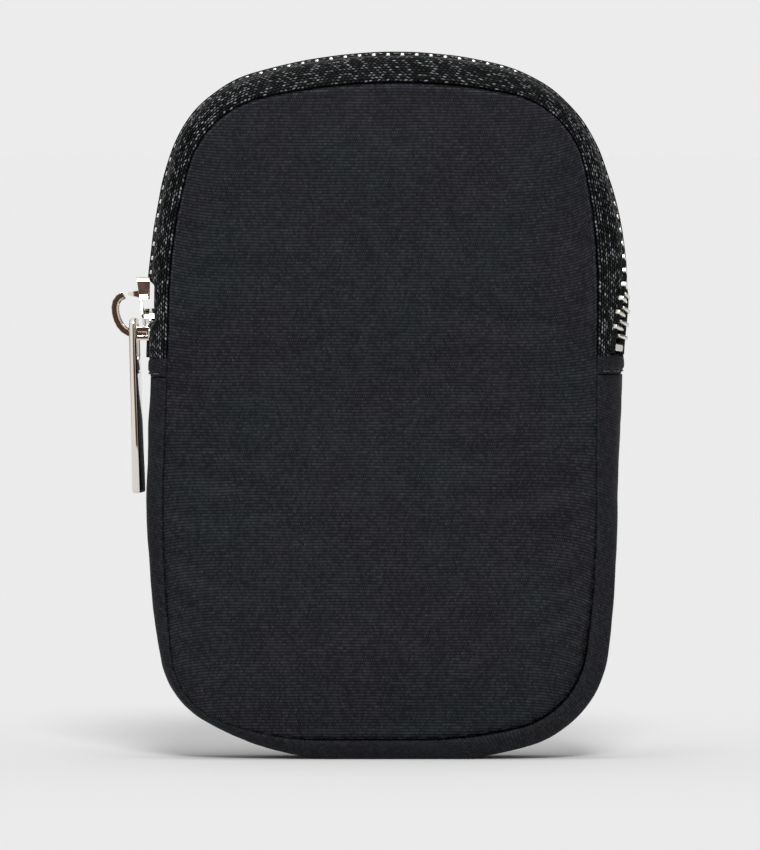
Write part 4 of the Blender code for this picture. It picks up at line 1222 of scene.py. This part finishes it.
def rounded_copy(node, name, width, angle, metal):
    """A welded copy of a CAD node with softened edges."""
    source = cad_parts[node]
    copy = source.copy()
    copy.data = source.data.copy()
    copy.parent = None
    copy.matrix_world = source.matrix_world.copy()
    bpy.context.collection.objects.link(copy)
    copy.name = name
    bpy.ops.object.select_all(action="DESELECT")
    copy.select_set(True)
    bpy.context.view_layer.objects.active = copy
    bpy.ops.object.transform_apply(location=True, rotation=True, scale=True)
    bpy.ops.object.mode_set(mode="EDIT")
    bpy.ops.mesh.select_all(action="SELECT")
    bpy.ops.mesh.remove_doubles(threshold=0.004 * MM)
    bpy.ops.mesh.dissolve_limited(angle_limit=math.radians(1))
    bpy.ops.object.mode_set(mode="OBJECT")
    rounded(copy, width, angle)
    copy.data.materials.clear()
    copy.data.materials.append(metal)
    return copy


slider_cast = rounded_copy("slider_body", "slider_cast", 0.18, 30, CAST_METAL)
puller_plate = rounded_copy("puller_bar", "puller_plate", 0.2, 30, CAST_METAL)
stop_names = ("top_stop_front", "top_stop_back", "bottom_stop")
stops = [rounded_copy(n, n + "_clamp", 0.15, 30, TOOTH_METAL) for n in stop_names]
CLAMP_SHRUNK = (0.7, 0.62, 0.8, 1.0)
solid_chain = Run(left_at(TAB_HIGH + GAP), right_at(TAB_HIGH + GAP), solid_depth)
from_solid = CHAIN.frame(BOTTOM_STOP_RUN) @ solid_chain.frame(BOTTOM_STOP_RUN).inverted()
from_solid.translation *= MM
stops[2].data.transform(from_solid)
clamp_place = CHAIN.frame(BOTTOM_STOP_RUN)
clamp_place.translation *= MM
stops[2].data.transform(clamp_place @ Matrix.Diagonal(CLAMP_SHRUNK) @ clamp_place.inverted())
stop_moved = clamp_place.translation / MM - solid_chain.frame(BOTTOM_STOP_RUN).translation
print("bottom stop moved by", [round(c, 2) for c in stop_moved], "mm")

# %% [markdown]
# The bail is a flat strip bent to a C, and it springs into a slotted lug at the slider's nose. The
# strip starts as a rectangle at its upper end, with its two inner corners cut off, and is extruded
# from place to place, turning as it goes. The lug is a block whose front face is inset and pushed
# in. Both get rounded edges.

# %% Bail
BAIL_PATH = (
    (-49.0, 87.85),
    (-49.95, 87.3),
    (-50.5, 86.5),
    (-50.68, 85.5),
    (-50.6, 84.4),
    (-50.3, 83.25),
    (-49.75, 82.15),
    (-49.0, 81.3),
    (-48.1, 80.75),
    (-47.0, 80.5),
    (-45.6, 80.5),
)
BAIL_THICK, BAIL_WIDE, BAIL_RIM, METAL_ROUND = 1.5, 2.0, 0.4, 0.09
LUG_MIDDLE, LUG_SIZE = (-45.55, 0.0, 80.5), (2.5, 2.5, 2.5)
LUG_RIM, LUG_SLOT, LUG_DEEP = 0.4, 0.4, 0.5


def heading(k):
    """Direction of the bail at a place, as an angle about Y from straight up."""
    before, after = BAIL_PATH[max(k - 1, 0)], BAIL_PATH[min(k + 1, len(BAIL_PATH) - 1)]
    return math.atan2(after[0] - before[0], after[1] - before[1])


def make_bail():
    """The bent strip, extruded along its path."""
    bpy.ops.object.select_all(action="DESELECT")
    start = Vector((BAIL_PATH[0][0], 0, BAIL_PATH[0][1])) * MM
    bpy.ops.mesh.primitive_plane_add(size=1, location=start, rotation=(0, heading(0), 0))
    strip_made = bpy.context.object
    strip_made.name = "slider_loop"
    strip_made.scale = (BAIL_THICK * MM, BAIL_WIDE * MM, 1)
    bpy.ops.object.transform_apply(location=True, rotation=True, scale=True)
    bpy.ops.object.mode_set(mode="EDIT")
    bpy.ops.mesh.select_mode(type="VERT")
    bpy.ops.mesh.select_all(action="DESELECT")
    bpy.ops.object.mode_set(mode="OBJECT")
    for vertex in strip_made.data.vertices:
        vertex.select = (vertex.co - start).dot(Vector((1, 0, -1))) > 0
    bpy.ops.object.mode_set(mode="EDIT")
    bpy.ops.mesh.bevel(offset=BAIL_RIM * MM, segments=1, affect="VERTICES")
    bpy.ops.mesh.select_all(action="SELECT")
    bpy.ops.mesh.select_mode(type="FACE")
    for k in range(1, len(BAIL_PATH)):
        (x0, z0), (x1, z1) = BAIL_PATH[k - 1], BAIL_PATH[k]
        step = ((x1 - x0) * MM, 0, (z1 - z0) * MM)
        bpy.ops.mesh.extrude_region_move(TRANSFORM_OT_translate={"value": step})
        turn = (heading(k) - heading(k - 1) + math.pi) % (2 * math.pi) - math.pi
        bpy.ops.transform.rotate(value=-turn, orient_axis="Y", center_override=(x1 * MM, 0, z1 * MM))
    bpy.ops.object.mode_set(mode="OBJECT")
    print("bail has", len(strip_made.data.polygons), "faces")
    strip_made.select_set(False)
    return strip_made


def make_lug():
    """The slotted block that holds the bail's lower end."""
    bpy.ops.object.select_all(action="DESELECT")
    bpy.ops.mesh.primitive_cube_add(size=1, location=Vector(LUG_MIDDLE) * MM)
    lug = bpy.context.object
    lug.name = "lug"
    lug.scale = Vector(LUG_SIZE) * MM
    bpy.ops.object.transform_apply(location=True, rotation=False, scale=True)
    for face in lug.data.polygons:
        face.select = face.normal.y < -0.9
    bpy.ops.object.mode_set(mode="EDIT")
    bpy.ops.mesh.select_mode(type="FACE")
    bpy.ops.mesh.inset(thickness=LUG_RIM * MM)
    bpy.ops.transform.resize(value=(1, 1, LUG_SLOT))
    bpy.ops.mesh.extrude_region_move(TRANSFORM_OT_translate={"value": (0, LUG_DEEP * MM, 0)})
    bpy.ops.object.mode_set(mode="OBJECT")
    lug.select_set(False)
    return lug


slider_loop, lug = make_bail(), make_lug()
for piece in (slider_loop, lug):
    face_outwards(piece)
    rounded(piece, METAL_ROUND, 40)
    piece.data.materials.append(CAST_METAL)
bpy.ops.object.select_all(action="DESELECT")
lug.select_set(True)
slider_loop.select_set(True)
bpy.context.view_layer.objects.active = slider_loop
bpy.ops.object.join()
slider_loop.select_set(False)
print("bail and lug have", len(slider_loop.data.polygons), "faces")

# %% [markdown]
# One stitch is a short arch of thread whose ends dive into the cloth. It starts as a slim cylinder,
# is cut into rings along its length, and its rings are lowered towards both ends. Copies lie in the
# seams, one for each pucker, and along the foot of each tab.

# %% One stitch
STITCH_LONG, STITCH_THICK, STITCH_DIP = 2.3, 0.32, 0.5
STITCH_ASIDE, STITCH_SUNK = 0.3, 0.7
TAB_STITCHES, TAB_SEWN_HALF = 7, 8.9


def make_stitch():
    """A stitch along X with its arch towards +Z, in metres."""
    bpy.ops.object.select_all(action="DESELECT")
    bpy.ops.mesh.primitive_cylinder_add(
        vertices=8, radius=STITCH_THICK / 2 * MM, depth=STITCH_LONG * MM, rotation=(0, math.pi / 2, 0)
    )
    stitch = bpy.context.object
    stitch.name = "stitch"
    bpy.ops.object.transform_apply(location=False, rotation=True, scale=False)
    bpy.ops.object.mode_set(mode="EDIT")
    for share in (0.2, 0.4, 0.6, 0.8):
        middle = ((share - 0.5) * STITCH_LONG * MM, 0, 0)
        bpy.ops.mesh.select_all(action="SELECT")
        bpy.ops.mesh.bisect(plane_co=middle, plane_no=(1, 0, 0))
    bpy.ops.object.mode_set(mode="OBJECT")
    for vertex in stitch.data.vertices:
        share = vertex.co.x / (STITCH_LONG / 2 * MM)
        vertex.co.z -= STITCH_DIP * MM * share**4
    stitch.data.shade_smooth()
    stitch.select_set(False)
    return stitch


STITCH_SHAPE = make_stitch()
print("a stitch has", len(STITCH_SHAPE.data.polygons), "faces")


# %% Rows of stitches
def sew(name, places, thread):
    """Copies of the stitch at each matrix in millimetres, joined into one piece."""
    bpy.ops.object.select_all(action="DESELECT")
    for place in places:
        copy = STITCH_SHAPE.copy()
        copy.data = STITCH_SHAPE.data.copy()
        bpy.context.collection.objects.link(copy)
        metres = place.copy()
        metres.translation *= MM
        copy.data.transform(metres)
        copy.select_set(True)
        bpy.context.view_layer.objects.active = copy
    bpy.ops.object.join()
    row = bpy.context.object
    row.name = name
    row.data.materials.append(thread)
    row.select_set(False)
    return row


def seam_places(side, low, high):
    """A place on every pucker of one seam, between two heights."""
    places = []
    for k in range(int(SEAM_RUN[-1] / STITCH)):
        run = (k + 0.5) * STITCH
        point = [np.interp(run, SEAM_RUN, SEAM[:, axis]) for axis in (0, 1)]
        if not low < point[1] < high:
            continue
        ahead = [np.interp(run + 0.2, SEAM_RUN, SEAM[:, axis]) for axis in (0, 1)]
        along = Vector((ahead[0] - point[0], 0, ahead[1] - point[1])).normalized()
        out = Vector((0, side, 0))
        across = out.cross(along).normalized()
        turn = Matrix((along, across, out)).transposed().to_4x4()
        arm = Vector((point[0] - PANEL_CENTRE[0], 0, point[1] - PANEL_CENTRE[1]))
        aside = across * math.copysign(STITCH_ASIDE, across.dot(arm))
        depth = side * (SEAM_HALF - STITCH_SUNK)
        places.append(Matrix.Translation(Vector((point[0], depth, point[1])) + aside) @ turn)
    return places


def tab_places(u):
    """Places across one tab along its sewn line."""
    places = []
    for y in np.linspace(-TAB_SEWN_HALF, TAB_SEWN_HALF, TAB_STITCHES):
        out = outward(u, y)
        across = (skin(u, y + 0.1) - skin(u, y - 0.1)).normalized()
        turn = Matrix((across, out.cross(across), out)).transposed().to_4x4()
        places.append(Matrix.Translation(skin(u, y) + out * (0.3 + TAB_PROUD - 0.2)) @ turn)
    return places


FOLD_CLEAR = 8.0  # no stitches this near the fold, where the seam bends
sewn_height = TAB_LOW + SEWN_AT * (TAB_HIGH - TAB_LOW)
tab_stitches_left = sew("tab_stitches_left", tab_places(left_at(sewn_height)), GLINTING_TAB_THREAD)
tab_stitches_right = sew("tab_stitches_right", tab_places(right_at(sewn_height + TAB_SHIFT)), GLINTING_TAB_THREAD)
seam_stitches_front = sew("seam_stitches_front", seam_places(-1, -1.0, FOLD - FOLD_CLEAR), SHADED_SEAM_THREAD)
seam_stitches_arch = sew("seam_stitches_arch", seam_places(-1, FOLD + FOLD_CLEAR, TOP), SHADED_SEAM_THREAD)
seam_stitches_back = sew("seam_stitches_back", seam_places(1, -1.0, TOP), SHADED_SEAM_THREAD)
bpy.data.objects.remove(STITCH_SHAPE)

# %% [markdown]
# What moves with what: the front bends at the fold, but its cloth, tape and bead ride on no body
# here; their placement is only baked in. The rest rides on one body each. A copied parent would be
# lost on export, so every piece rides by name.

for piece in (front_face, tape_front, bead_front):
    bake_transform(piece)
for piece in (back_face, gusset_cloth, tab_left, tab_right, tape_back, bead_back, teeth_back):
    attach(piece, "pouch")
for piece in (teeth_left, teeth_right, *stops):
    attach(piece, "pouch")
for piece in (tab_stitches_left, tab_stitches_right, seam_stitches_front, seam_stitches_back):
    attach(piece, "pouch")
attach(seam_stitches_arch, "front_flap")
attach(teeth_arch, "front_flap")
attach(slider_cast, "slider")
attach(slider_loop, "slider")
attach(puller_plate, "puller")

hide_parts("front_panel_lower", "front_panel_flap", "front_padding_lower")
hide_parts("front_padding_flap", "front_lining_lower", "front_lining_flap")
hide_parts("back_panel", "back_padding", "back_lining")
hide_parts("gusset", "gusset_padding", "gusset_lining")
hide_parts("zip_tab_left")
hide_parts("zip_tab_right")
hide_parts("front_tape_left", "front_tape_arch", "front_tape_right")
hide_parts("back_tape")
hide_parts("front_teeth_left")
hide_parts("front_teeth_arch")
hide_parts("front_teeth_right")
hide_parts("back_teeth")
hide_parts("slider_body")
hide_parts("slider_bail")
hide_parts("puller_bar")
for piece, node in zip(stops, stop_names):
    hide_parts(node)

# %% [markdown]
# The studio is a pale table under soft light. The table ends 0.4 m in front of the pouch, outside
# the picture, so that the polished metal mirrors the dark room there instead. Sun lamps light it
# alike everywhere, so it keeps one tone up to the horizon, and their wide angle softens the shadows.
# The world fills in from all round, and shows the same pale grey behind the pouch.

# %% Floor
FLOOR_COLOUR, BACKDROP_COLOUR = "#F7F7F7", "#ECECEC"
FLOOR_SIZE, FLOOR_FRONT, FLOOR_BELOW = 60.0, -0.42, 0.02 * MM
floor_middle = (0, FLOOR_FRONT + FLOOR_SIZE / 2, -FLOOR_BELOW)
bpy.ops.mesh.primitive_plane_add(size=FLOOR_SIZE, location=floor_middle)
floor = bpy.context.object
floor.name = "table_top"
FLOOR_PAPER, tree, shader = finish(
    "floor_paper", Roughness=1.0, Specular_IOR_Level=0.0, Base_Color=linear(FLOOR_COLOUR)
)
floor.data.materials.append(FLOOR_PAPER)

# %% [markdown]
# Polished metal is only as good as what it mirrors. Straight rays see the pale backdrop all round.
# Mirrored rays see the same grey behind the pouch, and on the camera's side an unlit, brownish room
# between two tall soft boxes and one overhead, as in a real small studio.

# %% World
WORLD_STRENGTH = 0.5
ROOM = (
    (-180.0, BACKDROP_COLOUR),
    (-158.0, BACKDROP_COLOUR),
    (-142.0, "#2A2420"),
    (-98.0, "#2A2420"),
    (-82.0, "#DCDAD6"),
    (-62.0, "#EFEEEB"),
    (-52.0, "#3A322C"),
    (-44.0, "#F4F2EE"),
    (-13.0, "#F4F2EE"),
    (-10.0, "#5C4237"),
    (13.0, "#4A372C"),
    (19.0, "#E8E6E2"),
    (40.0, "#F0EFEC"),
    (50.0, "#3A322C"),
    (62.0, "#3A322C"),
    (76.0, "#DCDAD6"),
    (88.0, "#DCDAD6"),
    (100.0, "#2A2420"),
    (142.0, "#2A2420"),
    (158.0, BACKDROP_COLOUR),
    (180.0, BACKDROP_COLOUR),
)
world = bpy.data.worlds.new("studio")
bpy.context.scene.world = world
world.use_nodes = True
tree = world.node_tree
tree.nodes.clear()
rays = add(tree, "LightPath")
towards = add(tree, "SeparateXYZ", add(tree, "TexCoord").outputs["Generated"])
backwards = add(tree, "Math", towards.outputs["Y"], -1.0, operation="MULTIPLY")
round_about = add(tree, "Math", towards.outputs["X"], backwards, operation="ARCTAN2")
turn_share = add(tree, "MapRange", {"Value": round_about, "From Min": -math.pi, "From Max": math.pi})
room = add(tree, "ValToRGB", turn_share)
for place, (degrees, colour) in enumerate(ROOM):
    spot = degrees / 360 + 0.5
    if place in (0, len(ROOM) - 1):
        stop = room.color_ramp.elements[0 if place == 0 else -1]
        stop.position = spot
    else:
        stop = room.color_ramp.elements.new(spot)
    stop.color = linear(colour)
overhead = add(tree, "MapRange", {"Value": towards.outputs["Z"], "From Min": 0.6, "From Max": 0.8})
ceiling = add(tree, "Mix", {"Factor": overhead, "A": room, "B": (1, 1, 1, 1)}, data_type="RGBA")
light = add(tree, "Background", (1, 1, 1, 1), WORLD_STRENGTH)
backdrop = add(tree, "Background", linear(BACKDROP_COLOUR), 1.0)
mirrored = add(tree, "Background", ceiling.outputs["Result"], 1.0)
straight, through = rays.outputs["Is Camera Ray"], rays.outputs["Is Transmission Ray"]
clear = add(tree, "Math", straight, through, operation="MAXIMUM")
lit = add(tree, "MixShader", rays.outputs["Is Glossy Ray"], light, mirrored)
add(tree, "OutputWorld", add(tree, "MixShader", clear, lit, backdrop))


# %% Lamps
def sun(name, azimuth, elevation, strength, angle):
    """A lamp whose light comes from that side: azimuth 0 is the camera's side, 90 is the right."""
    a, e = math.radians(azimuth), math.radians(elevation)
    source = Vector((math.sin(a) * math.cos(e), -math.cos(a) * math.cos(e), math.sin(e)))
    bpy.ops.object.light_add(type="SUN", location=source)
    lamp = bpy.context.object
    lamp.name = name
    lamp.rotation_euler = source.to_track_quat("Z", "Y").to_euler()
    lamp.data.energy = strength
    lamp.data.angle = math.radians(angle)


sun("key_light", 3, 34, 1.6, 14)
sun("top_light", -10, 78, 0.35, 30)
